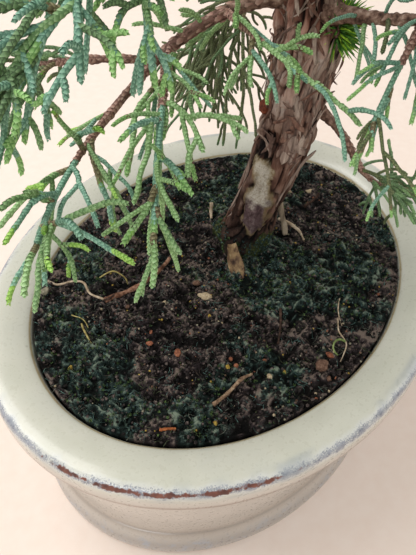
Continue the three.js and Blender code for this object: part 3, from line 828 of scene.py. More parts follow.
def trunkSurface(angle, along, lift=0.0):
    # Places on the bark, with its strips, grooves, fibres and marks
    t = trunk
    angle, along = np.broadcast_arrays(angle, along)
    middle = alongTrunk(fineLine, along)
    out = (alongTrunk(fineSides, along) * np.cos(angle)[..., None]
           + alongTrunk(fineUps, along) * np.sin(angle)[..., None])
    radius = trunkRadius(along)
    smooth = middle + out * (radius * (1 + trunkRidge(angle, along)))[..., None]
    height, slimness, long = smooth[..., 2], radius / usualRadius, along * trunkLength
    turned = stack(np.cos(angle) * 7, np.sin(angle) * 7, long / 5)
    strips, step = stripRelief(angle, along, long, turned)
    lumps = layeredNoise(smooth, 4.5, 15, 3)
    # The patch of bare wood, with a seam of torn bark round it
    share, off = segmentShare(smooth, bareWood["low"], bareWood["high"])
    half = mix(*bareWood["half"], share)
    ragged = off + 1.5 * softNoise(smooth, 2.6, 16) + 0.6 * softNoise(smooth, 0.9, 17)
    patch = smoothStep(half + 1.5, half - 1.3, ragged)
    seam = np.exp(-(np.abs(ragged - half - 1.2) / 0.9) ** 2) * (along < 0.33)
    seam = seam * smoothStep(-0.35, 0.5, softNoise(smooth, 3.4, 24))
    darkOff = segmentShare(smooth, darkStrip["low"], darkStrip["high"])[1]
    knobby = np.exp(-((height - t["knobbyAt"]) / t["knobbyReach"]) ** 2)
    upper = between(height, *t["proud"])
    relief = strips + t["fibre"] * fibreRelief(angle, long)
    relief = relief * (1 - 0.8 * patch) * (1 - 0.35 * knobby) + t["lump"] * lumps * (1 + 2.4 * knobby)
    relief = relief - 1.1 * seam * (1 - patch)
    for place, size, push in trunkMarks:
        near = np.exp(-((smooth - np.array(place)) ** 2).sum(axis=-1) / size**2)
        relief = relief + push * near * (1 + 0.35 * softNoise(smooth, 0.9, 18))
    relief = 0.45 * upper + relief * mix(0.55, 1, np.clip(slimness, 0, 1))
    relief = relief + 0.5 * between(height, *t["flaky"]) * softNoise(turned, 1.3, 19)
    foot = smoothStep(*t["footFades"], height)
    relief = relief * mix(0.3, 1, foot)
    away = ((smooth - np.array(surfaceRoot["place"])) ** 2).sum(axis=-1)
    root = surfaceRoot["reach"] * np.exp(-away / surfaceRoot["size"] ** 2)
    root = root * (1 + 0.25 * softNoise(smooth, 1.6, 23))
    moss = smoothStep(*t["mossFades"][::-1], height + 2.2 * softNoise(smooth, 3.2, 20))
    starts, full, fades, ends = t["fresh"]
    fresh = smoothStep(starts, full, height + 6 * softNoise(smooth, 5, 22)) * smoothStep(ends, fades, height)
    facts = {
        "depth": np.clip(relief / 1.3, -1, 1), "bareWood": patch, "bareWoodRise": share,
        "plate": step * 0.5 + 0.5,
        "moss": moss * (1 - 0.6 * np.clip(root / 3, 0, 1)), "foot": 1 - foot,
        "fresh": fresh, "knobby": knobby, "upper": upper,
        "darkSide": smoothStep(darkStrip["half"] + 0.7, darkStrip["half"] - 0.5, darkOff),
    }
    return smooth + out * (relief + root + lift)[..., None], facts


def makeTrunkMesh(materials):
    points, facts = trunkSurface(turns(trunk["sides"]), trunkShares[:, None])
    # The foot sinks into crumbs and moss
    points[0, :, 2] = np.minimum(points[0, :, 2], trunk["stations"][0][2]) - trunk["footSunk"]
    ends = [fineLine[0] - (0, 0, trunk["footSunk"]), fineLine[-1] + (0, 0, 0.3)]
    faces = turnedOver(closedFaces(len(points), trunk["sides"]))
    points = np.concatenate([points.reshape(-1, 3), ends])
    return makeMesh("trunkBark", points, faces, materials, True, withPoles(facts))


def makeBark():
    bark = Finish("peelingBark", 0.85, 0.2)
    fibre, fine = bark.noise(900, 5, 0.65, (1, 1, 0.12)), bark.noise(1500, 3, 0.6)
    patchy = bark.noise(210, 4, 0.6)
    # This ramp and those below follow the relief's depth: the grooves and cracks are darkened as painted shade
    depth = bark.marked("depth") * 0.5 + ((fibre - 0.5) * 0.85 + 0.5)
    bark.colour = bark.ramp(depth, (0.12, "140e0d"), (0.32, "443530"), (0.48, "7b675f"), (0.64, "9d8b83"),
                            (0.84, "beb0a7"))
    red = bark.ramp(depth, (0.14, "1c100d"), (0.36, "523a33"), (0.56, "866354"), (0.82, "b39182"))
    plate = (bark.marked("plate") - 0.5) * 0.5
    bark.lay((patchy + plate).fade(0.5, 0.66) * 0.7, red)
    shades = bark.ramp(bark.marked("plate") + plate, (0.15, "a8988f"), (0.5, "f4efec"), (0.9, "ffffff"))
    bark.lay(0.9, shades, "MULTIPLY")
    fresh = bark.ramp(depth, (0.15, "1e0f0c"), (0.4, "57332a"), (0.62, "845444"), (0.85, "ab8070"))
    bark.lay(bark.marked("fresh") * 0.8, fresh)
    knobby = bark.ramp(depth, (0.16, "150c0a"), (0.42, "422821"), (0.64, "7d5b4e"), (0.86, "bba99e"))
    bark.lay(bark.marked("knobby") * 0.8, knobby)
    bark.lay(bark.marked("darkSide") * 0.75, "3a2822")
    # Painted light: the bark where it stands out keeps its colour, and the rest is darkened
    bark.lay(1.0, bark.ramp(bark.marked("upper"), (0.0, "b9aca4"), (1.0, "ffffff")), "MULTIPLY")
    # Painted shade: the bark darkens towards its foot
    bark.lay(1.0, bark.ramp(bark.marked("foot"), (0.0, "ffffff"), (0.85, "7a6a5e")), "MULTIPLY")
    # Grey-white bare wood that turns purplish below, with a yellowish edge
    stained = patchy * 0.35 + fine * 0.25 + bark.noise(620, 4, 0.6, (1, 1, 0.2)) * 0.4
    bare = bark.ramp(stained, (0.34, "857b6d"), (0.46, "aca497"), (0.56, "c2bcb0"), (0.7, "d6d2c8"))
    plum = bark.ramp(stained, (0.34, "33262a"), (0.5, "5c4a4d"), (0.66, "8f8080"))
    rise = bark.marked("bareWoodRise") + (patchy - 0.5) * 0.9
    flecks = bark.ramp(bark.noise(2400, 4, 0.7), (0.34, "968d82"), (0.46, "eeebe4"), (0.6, "ffffff"))
    bare = bark.mixed(0.8, bark.mixed(rise.fade(0.56, 0.3), bare, plum), flecks, "MULTIPLY")
    patch = bark.marked("bareWood")
    worn = patch + (bark.noise(700, 5, 0.7) - 0.5) * 1.4
    bark.lay(worn.fade(0.15, 0.7) * 0.93, bare)
    bark.lay(patch.fade(0.02, 0.4) * patch.fade(1.0, 0.6) * 0.5, "84734f")
    green = bark.ramp(fine, (0.35, "1d2614"), (0.55, "3f4a26"), (0.75, "737c3c"))
    bark.lay((bark.marked("moss") + (patchy - 0.72)).fade(0.15, 0.5) * 0.8, green)
    return bark.done(fibre + fine * 0.5, 0.0007, 0.9)


makePiece("trunkBark", makeTrunkMesh([makeBark()]), ["trunk"])

peel = {
    "count": 130, "lowest": 0.15, "highest": 0.8, "lengths": (5, 24), "widths": (0.3, 1.7),
    "thickness": 0.1, "steps": 22, "rest": -0.1, "curl": 1.0, "chips": 26, "curls": 60, "seed": 4,
}
# Strips that stand off the bark: angle, along, length, width, drift, lift at each end
namedStrips = [
    (3.75, 0.19, 14, 1.4, 0.1, 1.6, 0.9), (2.0, 0.24, 13, 1.7, -0.75, 0.5, 1.6),
    (2.25, 0.37, 9, 1.0, 0.3, 0.5, 1.3), (1.9, 0.4, 12, 1.0, 0.5, 0.7, 1.8),
    (2.5, 0.42, 12, 0.8, -0.2, 0.3, 1.0),
    (1.55, 0.36, 12, 1.3, 0.0, 0.8, 2.4), (2.4, 0.5, 10, 0.9, 0.1, 2.2, 0.4),
    (2.75, 0.5, 8, 0.8, 0.2, 2.6, 0.4),
    (1.8, 0.41, 17, 1.3, -0.75, 0.3, 2.2), (1.6, 0.43, 15, 1.1, -0.7, 0.4, 2.6),
    (1.4, 0.46, 14, 1.2, -0.55, 0.5, 2.8), (1.95, 0.47, 14, 0.9, -0.6, 0.4, 1.8),
    (1.2, 0.49, 13, 1.1, -0.4, 0.6, 2.4),
    (2.35, 0.44, 15, 0.7, -0.35, 0.2, 1.4), (2.2, 0.3, 15, 1.5, -0.9, 0.3, 1.2),
]


def addStrip(pile, angle, along, length, width, drift, liftLow, liftHigh, draw, kind=None):
    p = peel
    share = np.linspace(0, 1, p["steps"])[:, None]
    nowAlong = np.clip(along + share * length / trunkLength, 0, 0.985)
    lift = (p["rest"] + 0.12 * draw() + liftLow * (1 - share) ** 3 + liftHigh * share**3)
    wave = 0.12 * np.sin(share * (4 + 6 * draw()) + draw() * 6)
    taper = np.minimum(1, np.minimum(share, 1 - share) * (5 + 5 * draw()) + 0.12)
    side = np.array([-1.0, -0.35, 0.35, 1.0])[None, :]
    nowAngle = angle + drift * share + (side * width * taper / 2) / trunkRadius(nowAlong)
    crown = 0.16 * width * (1 - side**2)
    under = trunkSurface(nowAngle, nowAlong, lift + wave + crown * 0.4)[0]
    upper = trunkSurface(nowAngle, nowAlong, lift + wave + crown + p["thickness"])[0]
    ring = np.concatenate([upper, under[:, ::-1]], axis=1)
    # Smooth the strip along its length, so that it spans the grooves below it
    for _ in range(3):
        ring[1:-1] = (ring[:-2] + ring[1:-1] * 2 + ring[2:]) / 4
    steps, columns = ring.shape[:2]
    chosen = int(draw() * 3)
    faces = turnedOver(flatEndedFaces(steps, columns))
    pile.add(ring.reshape(-1, 3), faces, chosen if kind is None else kind)


def makeStrips():
    draw = seeded(peel["seed"])
    pile = Pile()
    for strip in namedStrips:
        addStrip(pile, *strip, draw, kind=1)
    for _ in range(peel["chips"]):
        angle, along, length = mix(1.3, 3.9, draw()), mix(0.315, 0.4, draw()), mix(3, 8, draw())
        width, drift = mix(0.7, 2.4, draw()), (draw() - 0.5) * 1.6
        addStrip(pile, angle, along, length, width, drift, 1.3 * draw() ** 2, 1.6 * draw() ** 2, draw)
    for _ in range(peel["count"]):
        along = mix(peel["lowest"], peel["highest"], draw())
        length = mix(*peel["lengths"], draw() ** 1.6)
        width = mix(*peel["widths"], draw() ** 1.5)
        angle = draw() * 2 * math.pi
        ends = [peel["curl"] * draw() ** 3, peel["curl"] * draw() ** 3]
        reached = along + np.linspace(0, 1, 5) * length / trunkLength
        drift = (draw() - 0.5) * 0.5
        if trunkSurface(angle + np.linspace(0, 1, 5) * drift, reached)[1]["bareWood"].max() > 0.05:
            continue
        addStrip(pile, angle, along, length, width * (0.6 if along > 0.6 else 1), drift, *ends, draw)
    for _ in range(peel["curls"]):
        angle, along, length = mix(1.0, 4.2, draw()), mix(0.37, 0.6, draw()), mix(3, 10, draw() ** 1.4)
        width, drift = mix(0.25, 0.8, draw()), (draw() - 0.6) * 1.3
        ends = [0.4 + 1.2 * draw() ** 2, 0.3 + 2.2 * draw() ** 2]
        addStrip(pile, angle, along, length, width, drift, *ends, draw)
    shades = {
        "stripBrown": "2e221e 6a544b 978073", "stripGrey": "463934 8b786d bcab9e",
        "stripRusty": "3a2620 74564a a38473",
    }
    finishes = [simpleFinish(name, codes, 700, 0.85, 0.0004, (1, 1, 0.15)) for name, codes in shades.items()]
    return pile.mesh("barkStrips", finishes)


makePiece("barkStrips", makeStrips())

print("boughs")


def heading(azimuth, rise):
    turn, up = math.radians(azimuth), math.radians(rise)
    return np.array([math.cos(up) * math.cos(turn), math.cos(up) * math.sin(turn), math.sin(up)])


def pathOf(start, azimuth, rise, turn, sag, length, steps):
    points = [np.array(start, dtype=float)]
    for step in range(steps):
        along = (step + 0.5) / steps
        points.append(points[-1] + heading(azimuth + turn * along, rise + sag * along) * length / steps)
    return np.array(points)


# name, height on the trunk or parent, azimuth, rise, turn, sag, length, radii
boughs = [
    ("left_bough", 132, 140, 2, 2, -44, 38, (1.75, 1.3)),
    ("left_fork_front", "left_bough", 184, -16, 6, 4, 14, (1.1, 0.9)),
    ("left_fork_rear", "left_bough", 124, 6, 6, -10, 12, (1.1, 0.85)),
    ("left_back_bough", 142, 104, 16, 10, -16, 28, (2.0, 1.3)),
    ("right_bough", 129, -104, 8, -14, 16, 34, (2.3, 1.4)),
    ("right_fork", "right_bough", -60, 14, 10, -10, 12, (1.2, 0.9)),
    ("low_right_branch", 108, -54, -26, -12, -34, 26, (1.5, 0.95)),
    ("back_bough", 125, 52, 8, 14, -26, 24, (2.1, 1.3)),
    ("back_right_bough", 137, 4, 14, -14, -14, 26, (2.0, 1.3)),
    ("upper_left_bough", 150, 166, 16, 12, -22, 30, (1.8, 1.1)),
    ("upper_front_bough", 163, -136, 26, -8, -18, 16, (1.5, 1.0)),
    ("upper_right_bough", 155, -52, 22, -8, -22, 20, (1.7, 1.1)),
    ("upper_back_bough", 168, 60, 24, 10, -20, 16, (1.5, 1.0)),
    ("crown_left_bough", 182, 176, 34, 8, -12, 9, (1.2, 0.9)),
    ("crown_right_bough", 186, -10, 36, -8, -12, 9, (1.2, 0.9)),
]
boughShape = {
    "steps": 6, "finer": 12, "sides": 26, "collar": 0.7, "collarReach": 3.5,
    "groove": 0.34, "grain": 0.3, "whorl": 0.8,
    # How far out a bough is bare bark before old scale leaves cover it, and those that differ
    "bareReach": 9, "bareReachOf": {"left_bough": 2}, "allBare": ("right_bough", "right_fork"),
    "thinner": {"right_bough": 0.8},
}
growth = {"gap": 0.3, "leafExtra": 0.1}

takenOwners, takenStarts, takenEnds, takenRadii = [], [], [], []


def take(owner, points, radiusAt):
    for i in range(len(points) - 1):
        shares = (i / (len(points) - 1), (i + 1) / (len(points) - 1))
        takenOwners.append(owner)
        takenStarts.append(points[i])
        takenEnds.append(points[i + 1])
        takenRadii.append(max(radiusAt(shares[0]), radiusAt(shares[1])))


def isFree(owner, start, end, radius):
    starts, ends = np.array(takenStarts), np.array(takenEnds)
    line, others, apart = end - start, ends - starts, start - starts
    a, e, f = line @ line, (others**2).sum(axis=1), (others * apart).sum(axis=1)
    b, c = others @ line, apart @ line
    divisor = a * e - b * b
    s = np.where(divisor > 1e-9, np.clip((b * f - c * e) / np.maximum(divisor, 1e-9), 0, 1), 0)
    t = (b * s + f) / e
    s = np.where(t < 0, np.clip(-c / a, 0, 1), np.where(t > 1, np.clip((b - c) / a, 0, 1), s))
    t = np.clip(t, 0, 1)
    away = np.linalg.norm(start + line * s[:, None] - starts - others * t[:, None], axis=1)
    own = np.array([other == owner for other in takenOwners])
    return bool(np.all(own | (away > radius + np.array(takenRadii) + growth["gap"] + growth["leafExtra"])))


def trunkAt(height):
    index = 0
    while index < len(coarseLine) - 2 and coarseLine[index + 1, 2] < height:
        index += 1
    low, high = coarseLine[index], coarseLine[index + 1]
    return mix(low, high, (height - low[2]) / (high[2] - low[2]))


def pointAlong(points, along):
    place = min(along, 0.9999) * (len(points) - 1)
    lower = int(place)
    return mix(points[lower], points[lower + 1], place - lower)


# Cords are lines of places with a girth and a tone at each: one whorl of scale leaves grows at each place
class CordBook:
    def __init__(self):
        self.points, self.edges, self.girths, self.tones, self.count = [], [], [], [], 0
        self.length, self.habit = 0, (1, 1, 1, 1)

    def add(self, path, girths, tones):
        self.points.append(path)
        self.girths.append(girths)
        self.tones.append(tones)
        self.edges.extend((self.count + i, self.count + i + 1) for i in range(len(path) - 1))
        self.count += len(path)
        self.length += np.linalg.norm(np.diff(path, axis=0), axis=1).sum()

    def host(self, name):
        mesh = bpy.data.meshes.new(name)
        mesh.from_pydata((np.concatenate(self.points) * mm).tolist(), self.edges, [])
        for key, parts, kind in (("girth", self.girths, "FLOAT"), ("tone", self.tones, "INT")):
            markPoints(mesh, key, np.concatenate(parts), kind)
        return mesh


def evenly(path, spacing):
    # The same path with its points an even step apart
    lengths = np.append(0, np.cumsum(np.linalg.norm(np.diff(path, axis=0), axis=1)))
    count = max(int(round(lengths[-1] / spacing)), 2)
    places = np.linspace(0, lengths[-1], count + 1)
    return stack(*(np.interp(places, lengths, path[:, axis]) for axis in range(3)))


def scaleWhorl(name, leaves, width, ridge, tip):
    # Scale leaves pressed to a cord one unit thick: each a closed kite of six faces
    # Each corner's turn, radius, height, and share of the way from the leaf's base to its tip
    outline = [(0, 0.76, -0.2, 0), (-1, 0.86, 0.5, 0.45), (1, 0.86, 0.5, 0.45), (0, ridge, 0.6, 0.4),
               (0, tip, 1.3, 1)]
    kite = [(0, 2, 3), (2, 4, 3), (4, 1, 3), (1, 0, 3), (0, 1, 4), (0, 4, 2)]
    points, faces, along = [], [], []
    for leaf in range(leaves):
        start = len(points)
        for turn, radius, z, share in outline:
            angle = math.radians(turn * width) + leaf * 2 * math.pi / leaves
            points.append((radius * math.cos(angle), radius * math.sin(angle), z))
            along.append(share)
        faces += [tuple(start + corner for corner in face) for face in kite]
    shape = shapeObject(name, points, faces, True, {"along": along})
    for edge in shape.data.edges:
        edge.use_edge_sharp = 3 not in {corner % len(outline) for corner in edge.vertices}
    return shape


def cordTree(name, finishes):
    tree, given = newTree(name, [
        ("Scale Leaves", "NodeSocketObject", None), ("Turn Per Whorl", "NodeSocketFloat", math.pi / 2),
        ("Core Share", "NodeSocketFloat", 0.84), ("Core Sides", "NodeSocketInt", 5),
        ("Core Step", "NodeSocketFloat", 0.0013)])
    curve = putOut(tree, "GeometryNodeMeshToCurve", {"Mesh": given["Geometry"]})
    spots = put(tree, "GeometryNodeCurveToPoints", {"Curve": curve}, mode="EVALUATED")
    girth, index = saved(tree, "girth"), Value(tree, putOut(tree, "GeometryNodeInputIndex"))
    turn = index * given["Turn Per Whorl"] + stray(tree, -0.32, 0.32, 3)
    roll = putOut(tree, "FunctionNodeAxisAngleToRotation", {"Axis": (0, 0, 1), "Angle": turn})
    leaves = onSpots(tree, spots, given["Scale Leaves"], roll, girth * stray(tree, 0.92, 1.1, 4))
    # A plain core inside the leaves, so that no gap shows between them; it has no leaf share, so it takes the
    # covered base colour, painted shade between the leaves
    coarse = putOut(tree, "GeometryNodeResampleCurve", {
        "Curve": curve, "Length": given["Core Step"]}, mode="LENGTH")
    ring = putOut(tree, "GeometryNodeCurvePrimitiveCircle", {
        "Resolution": given["Core Sides"], "Radius": 1.0})
    core = putOut(tree, "GeometryNodeCurveToMesh", {
        "Curve": coarse, "Profile Curve": ring, "Scale": girth * given["Core Share"], "Fill Caps": True})
    whole = put(tree, "GeometryNodeJoinGeometry")
    tree.links.new(core, whole.inputs[0])
    tree.links.new(leaves, whole.inputs[0])
    shape = putOut(tree, "GeometryNodeRealizeInstances", {"Geometry": whole.outputs[0]})
    endTree(tree, dealFinishes(tree, shape, "tone", finishes))
    return tree


def cordFinish(name, base, middle, edge):
    # Scale leaves are painted darkest where the next one covers them, a painted shade, and palest at their
    # edges, a painted highlight
    finish = Finish(name, 0.6, 0.3)
    grain = finish.noise(1400, 4, 0.6)
    share = finish.marked("along") + (grain - 0.5) * 0.7
    finish.colour = finish.ramp(share, (0.02, base), (0.42, middle), (0.95, edge))
    finish.lay(0.7, finish.ramp(finish.noise(160, 2), (0.35, "d8dccf"), (0.65, "ffffff")), "MULTIPLY")
    return finish.done(grain, 0.0002, 0.6)


# name, covered base in painted shade, middle, edge in painted highlight
cordTones = [
    ("scalesDeep", "52694a", "6f9064", "98b688"),
    ("scalesMid", "688a5a", "8ab077", "b4d0a0"),
    ("scalesSea", "628c7a", "86b49b", "b2d8c4"),
    ("scalesFresh", "729e5c", "98c87a", "bee2a2"),
    ("scalesLime", "82b44c", "a8d668", "c8ea94"),
    ("scalesOld", "6e4e45", "a07a6d", "c2a295"),
    ("scalesOlive", "4c553c", "6d7850", "9aa57a"),
    # A lighter copy of scalesMid, dealt mostly to the hanging masses under the crown: painted light that offsets
    # their shade
    ("scalesPale", "76985f", "9cc486", "c6e2b2"),
    ("scalesTan", "62583f", "877d5e", "aea585"),
]
deep, mid, sea, fresh, lime, old, olive, pale, tan = range(len(cordTones))
finishes = [cordFinish(*tone) for tone in cordTones]
twigTree = cordTree("scaledTwigs", finishes)
pairShape = scaleWhorl("leafPair", 2, 68, 0.99, 0.95)
fourShape = scaleWhorl("leafFour", 2, 72, 1.07, 1.02)

limbs = {"trunk": {"points": coarseLine}}
take("trunk", coarseLine, lambda along: trunkRadius(along) * (1 + trunk["ridgeDepth"]))


def makeBoughs():
    shape = boughShape
    bare, scales = Pile(), CordBook()
    for number, (name, origin, azimuth, rise, turn, sag, length, radii) in enumerate(boughs):
        onTrunk = not isinstance(origin, str)
        start = trunkAt(origin) if onTrunk else limbs[origin]["points"][-1]
        points = pathOf(start, azimuth, rise, turn, sag, length, shape["steps"])
        limbs[name] = {"points": points}
        take(name, points, lambda along, radii=radii: mix(radii[0], radii[1], along))
        fine = throughPoints(points, shape["steps"] * shape["finer"])
        along = np.linspace(0, 1, len(fine))
        heights = coarseLine[:, 2]
        root = trunkRadius(np.interp(origin, heights, np.linspace(0, 1, len(heights)))) if onTrunk else 0
        beyond = np.maximum(along * length - root, 0)
        collar = shape["collar"] * np.exp(-beyond / shape["collarReach"]) if onTrunk else 0
        lean = shape["thinner"].get(name, 1)
        radius = mix(radii[0], radii[1], along) * (0.94 + collar) * lean

        def relief(angle, share, number=number, length=length):
            places = stack(np.cos(angle) * 2, np.sin(angle) * 2, share * length / 2.5 + number * 50)
            ridged = 1 - np.abs(softNoise(places, 0.8, 61))
            return shape["grain"] * softNoise(places, 0.5, 62) - shape["groove"] * ridged**3

        body, faces = tubeArrays(fine, radius, shape["sides"], relief)
        bare.add(body, faces)
        # Old scale leaves stay on the bough from a little way out
        bareReach = root + shape["bareReachOf"].get(name, shape["bareReach"])
        bareShare = 1 if name in shape["allBare"] else bareReach / length if onTrunk else 0
        if bareShare < 0.95:
            outer = fine[int(bareShare * (len(fine) - 1)):]
            girth = mix(radii[0], radii[1], 0.6)
            path = evenly(outer, girth * shape["whorl"])
            girths = mix(radii[0] * 1.04, radii[1] * 1.08, np.linspace(bareShare, 1, len(path))) * lean
            scales.add(path, girths * mm, np.full(len(path), old))
    limb = simpleFinish("boughBark", "241814 5c453b 8b7062 b49f91", 620, 0.85, 0.0006)
    makePiece("boughBark", bare.mesh("boughBark", [limb]), [row[0] for row in boughs])
    mesh = grownMesh("boughScales", scales.host("boughScales"), twigTree, {
        "Scale Leaves": fourShape, "Turn Per Whorl": math.pi / 2, "Core Share": 0.86, "Core Sides": 8})
    makePiece("boughScales", mesh)


makeBoughs()

print("foliage")

# name, parent, along it (None: from its tip), azimuth, rise, turn, sag,
# length, width, flat, open, shoots, seed, tones
masses = [
    ("left_hanging", "left_bough", 0.88, 214, -4, 4, -16, 50, 18, 0.7, 36, 8, 11, (pale, mid, sea, fresh)),
    ("front", "left_bough", 0.5, 236, 4, 38, -26, 36, 10, 0.5, 44, 5, 12, (pale, sea, mid, fresh)),
    ("left_front", "left_fork_front", None, 0, 0, 34, 26, 46, 22, 0.75, 48, 8, 13, (sea, pale, mid, lime)),
    ("left_rear", "left_fork_rear", None, 0, 0, 22, -8, 36, 20, 0.7, 48, 7, 14, (deep, olive, deep, mid)),
    ("left_back", "left_back_bough", None, 0, 0, -20, -14, 46, 25, 0.75, 48, 8, 15, (deep, mid, olive, fresh)),
    ("back_hanging", "back_bough", None, 0, 0, 30, -70, 36, 18, 0.7, 48, 7, 16, (olive, deep, olive, deep)),
    ("back_right", "back_right_bough", None, 0, 0, 16, -18, 46, 26, 0.75, 48, 8, 17, (deep, mid, deep, fresh)),
    ("right_hanging", "right_bough", 0.92, 186, -22, -10, -52, 24, 10, 0.6, 48, 4, 18, (sea, olive, mid, fresh)),
    ("right_near", "right_bough", None, 0, 0, -34, -6, 36, 14, 0.6, 48, 6, 19, (sea, mid, sea, fresh)),
    ("right_outer", "right_fork", None, 0, 0, -12, -16, 38, 22, 0.7, 48, 7, 20, (mid, sea, deep, fresh)),
    ("low_right", "low_right_branch", None, 0, 0, 14, 84, 28, 15, 0.4, 48, 7, 21, (deep, olive, mid, mid)),
    ("upper_left", "upper_left_bough", None, 0, 0, 10, -26, 40, 21, 0.7, 48, 7, 22, (sea, mid, deep, fresh)),
    ("upper_front", "upper_front_bough", None, 0, 0, -8, -6, 34, 24, 0.8, 48, 7, 23, (mid, sea, deep, lime)),
    ("upper_right", "upper_right_bough", None, 0, 0, -10, -20, 44, 26, 0.8, 48, 8, 24, (mid, deep, sea, fresh)),
    ("upper_back", "upper_back_bough", None, 0, 0, 16, -24, 42, 26, 0.8, 48, 8, 25, (deep, mid, olive, fresh)),
    ("crown_left", "crown_left_bough", None, 0, 0, 14, 4, 32, 24, 0.85, 48, 7, 27, (mid, sea, mid, lime)),
    ("crown_right", "crown_right_bough", None, 0, 0, -12, 2, 34, 24, 0.85, 48, 7, 28, (mid, deep, sea, fresh)),
    ("top", "trunk", None, 0, 0, 40, -14, 38, 26, 1, 48, 8, 26, (mid, sea, mid, lime)),
]
stemRule = {"radii": (1.0, 0.6), "steps": 6}
shootRule = {
    "first": 0.12, "last": 0.97, "openSpread": 12, "taper": 0.5, "shortest": 0.75, "vary": 0.4,
    "root": 1.5, "goldenTurn": 137.5, "seedTurn": 40,
}
cordRule = {
    "spacing": 8, "first": 3, "open": 40, "openSpread": 8, "length": 9.5, "taper": 0.45,
    "shortest": 0.8, "vary": 0.4, "base": 2.3,
}
# What the finer twigs add to the solids' shoots and cords
finer = {
    "pitch": 0.62,  # spacing of whorls as a share of the girth
    "stemGirth": 0.84, "shootGirth": 0.76, "cordGirth": 0.69, "twigGirth": 0.62,
    "droop": 0.13, "sway": 0.09, "hang": 0.26, "wander": 0.11,
    "kept": 0.62, "stretch": (0.95, 1.55),
    "sideSpacing": 9.5, "sideOpen": 40, "sideLength": 11,
    "twigShares": (0.36, 0.66), "twigOpen": 38, "twigLength": 0.42, "twigChance": 0.42,
    "stemSpacing": 6.5, "stemLength": 12, "oldShare": 0.42, "tipLength": 3.0, "tipChance": 0.5,
    "tanShare": (-0.2, 0.5),
}
# Masses whose cords differ: girth, length and hang as shares of the usual ones, and how thick the stem is
habits = {
    "back_hanging": (0.8, 1.7, 1.9, 1), "left_rear": (0.85, 1.2, 1.3, 1), "low_right": (0.8, 1.15, -0.1, 1),
    "right_hanging": (0.72, 1.0, 1.2, 1), "left_hanging": (0.94, 1.1, 1, 1.4), "front": (0.9, 1.1, 1, 1),
    "left_front": (0.9, 1.1, 1, 1.1),
}
# Cords straight from a bough: first and last share of its length, count
boughCords = {"front": (0.45, 0.95, 6), "right_hanging": (0.35, 0.95, 11)}
# How full a mass is: 1 where not named. The boughs near the viewer are thin, and those behind are thick.
fullness = {
    "left_hanging": 0.62, "front": 0.8, "left_front": 0.8, "left_rear": 1.0, "left_back": 1.3,
    "back_hanging": 2.6, "back_right": 1.9, "right_hanging": 0.8, "right_near": 1.3, "right_outer": 1.7,
    "low_right": 1.2, "upper_left": 1.7, "upper_front": 1.9, "upper_right": 1.9, "upper_back": 1.9,
    "crown_left": 2.0, "crown_right": 2.0, "top": 2.0,
}


def spreadAngle(middle, spread, draw):
    return math.radians(middle + (draw() - 0.5) * 2 * spread)


def sideways(ahead, opening, turn, flat):
    level = np.cross((0, 0, 1.0), ahead)
    if level @ level < 1e-4:
        level = np.array([1.0, 0, 0])
    level = unit(level)
    over = np.cross(ahead, level)
    out = unit(level * math.cos(turn) + over * math.sin(turn) * flat)
    return unit(ahead * math.cos(opening) + out * math.sin(opening))


def cordsOf(length, draw):
    # The side cords of a shoot, which leave it to the left and right by turns
    rule, cords, at = cordRule, [], cordRule["first"]
    while at < length - rule["base"]:
        side = -1 if len(cords) % 2 else 1
        opening = spreadAngle(rule["open"], rule["openSpread"], draw)
        vary = rule["shortest"] + rule["vary"] * draw()
        reach = rule["length"] * (1 - rule["taper"] * at / length) * vary
        cords.append((at, side, side * math.sin(opening) * reach, at + math.cos(opening) * reach))
        at += rule["spacing"] / 2
    return cords


def bowed(start, end, push, count=9):
    # A path from start to end that bows by a push at its middle
    share = np.linspace(0, 1, count)[:, None]
    return mix(start, end, share) + 4 * share * (1 - share) * np.asarray(push)


def bent(path):
    # The same path with small irregular bends, from where it starts
    away = np.minimum(np.linalg.norm(path - path[0], axis=1) / 4, 1)[:, None]
    return path + 0.5 * away * stack(*(softNoise(path + shift, 4.2, 34) for shift in (0, 37, 71)))


def growCord(book, path, girth, tones, draw, oldTo=0.0, taper=0.12):
    # A cord of scale leaves, blunt at its tip, often with fresher growth there
    girth = girth * book.habit[0]
    even = evenly(path, girth * finer["pitch"])
    share = np.linspace(0, 1, len(even))
    blunt = np.minimum(1, 0.72 + (1 - share) * len(even) / 7)
    girths = girth * (1 - taper * share) * blunt * (0.96 + 0.08 * draw())
    tone = tones[0] if draw() < 0.62 else tones[1 + int(draw() * 1.999)]
    dealt = np.full(len(even), tone)
    dealt[share < oldTo] = tan
    if draw() < finer["tipChance"]:
        length = np.linalg.norm(np.diff(path, axis=0), axis=1).sum()
        dealt[share > 1 - finer["tipLength"] * (0.6 + 0.8 * draw()) / max(length, 1)] = tones[3]
    book.add(even, girths * mm, dealt)


def withinReach(place):
    # Tips stay about as far out as the solids do
    low, high = (np.array(corner) / mm for corner in cadBox)
    return bool(np.all(place > low - 1.5) and np.all(place < high + 1.5) and place[2] > soil["level"] + 2)


def roam(draw, size):
    return np.array([draw() - 0.5, draw() - 0.5, draw() - 0.5]) * 2 * size


def growTwigs(book, path, facing, tones, draw, full, scale=1.0):
    # Small side twigs along a cord, to the left and right by turns
    length = np.linalg.norm(path[-1] - path[0])
    side = 1 if draw() < 0.5 else -1
    for share in finer["twigShares"]:
        reach = length * finer["twigLength"] * (1.2 - 0.5 * share) * (0.7 + 0.7 * draw()) * scale
        opening, chance = spreadAngle(finer["twigOpen"], 12, draw), draw()
        lean = (draw() - 0.5) * 1.3
        side = -side
        if chance > finer["twigChance"] * full or reach < 2:
            continue
        place = pointAlong(path, share)
        ahead = tangentAt(path, int(share * (len(path) - 1)))
        across = unit(np.cross(facing, ahead)) * side
        out = unit(across * math.cos(lean) + np.cross(ahead, across) * math.sin(lean))
        end = place + (ahead * math.cos(opening) + out * math.sin(opening)) * reach
        end = end - np.array([0, 0, finer["hang"] * reach * 0.5])
        growCord(book, bent(bowed(place, end, out * reach * 0.1, 6)), finer["twigGirth"], tones, draw)


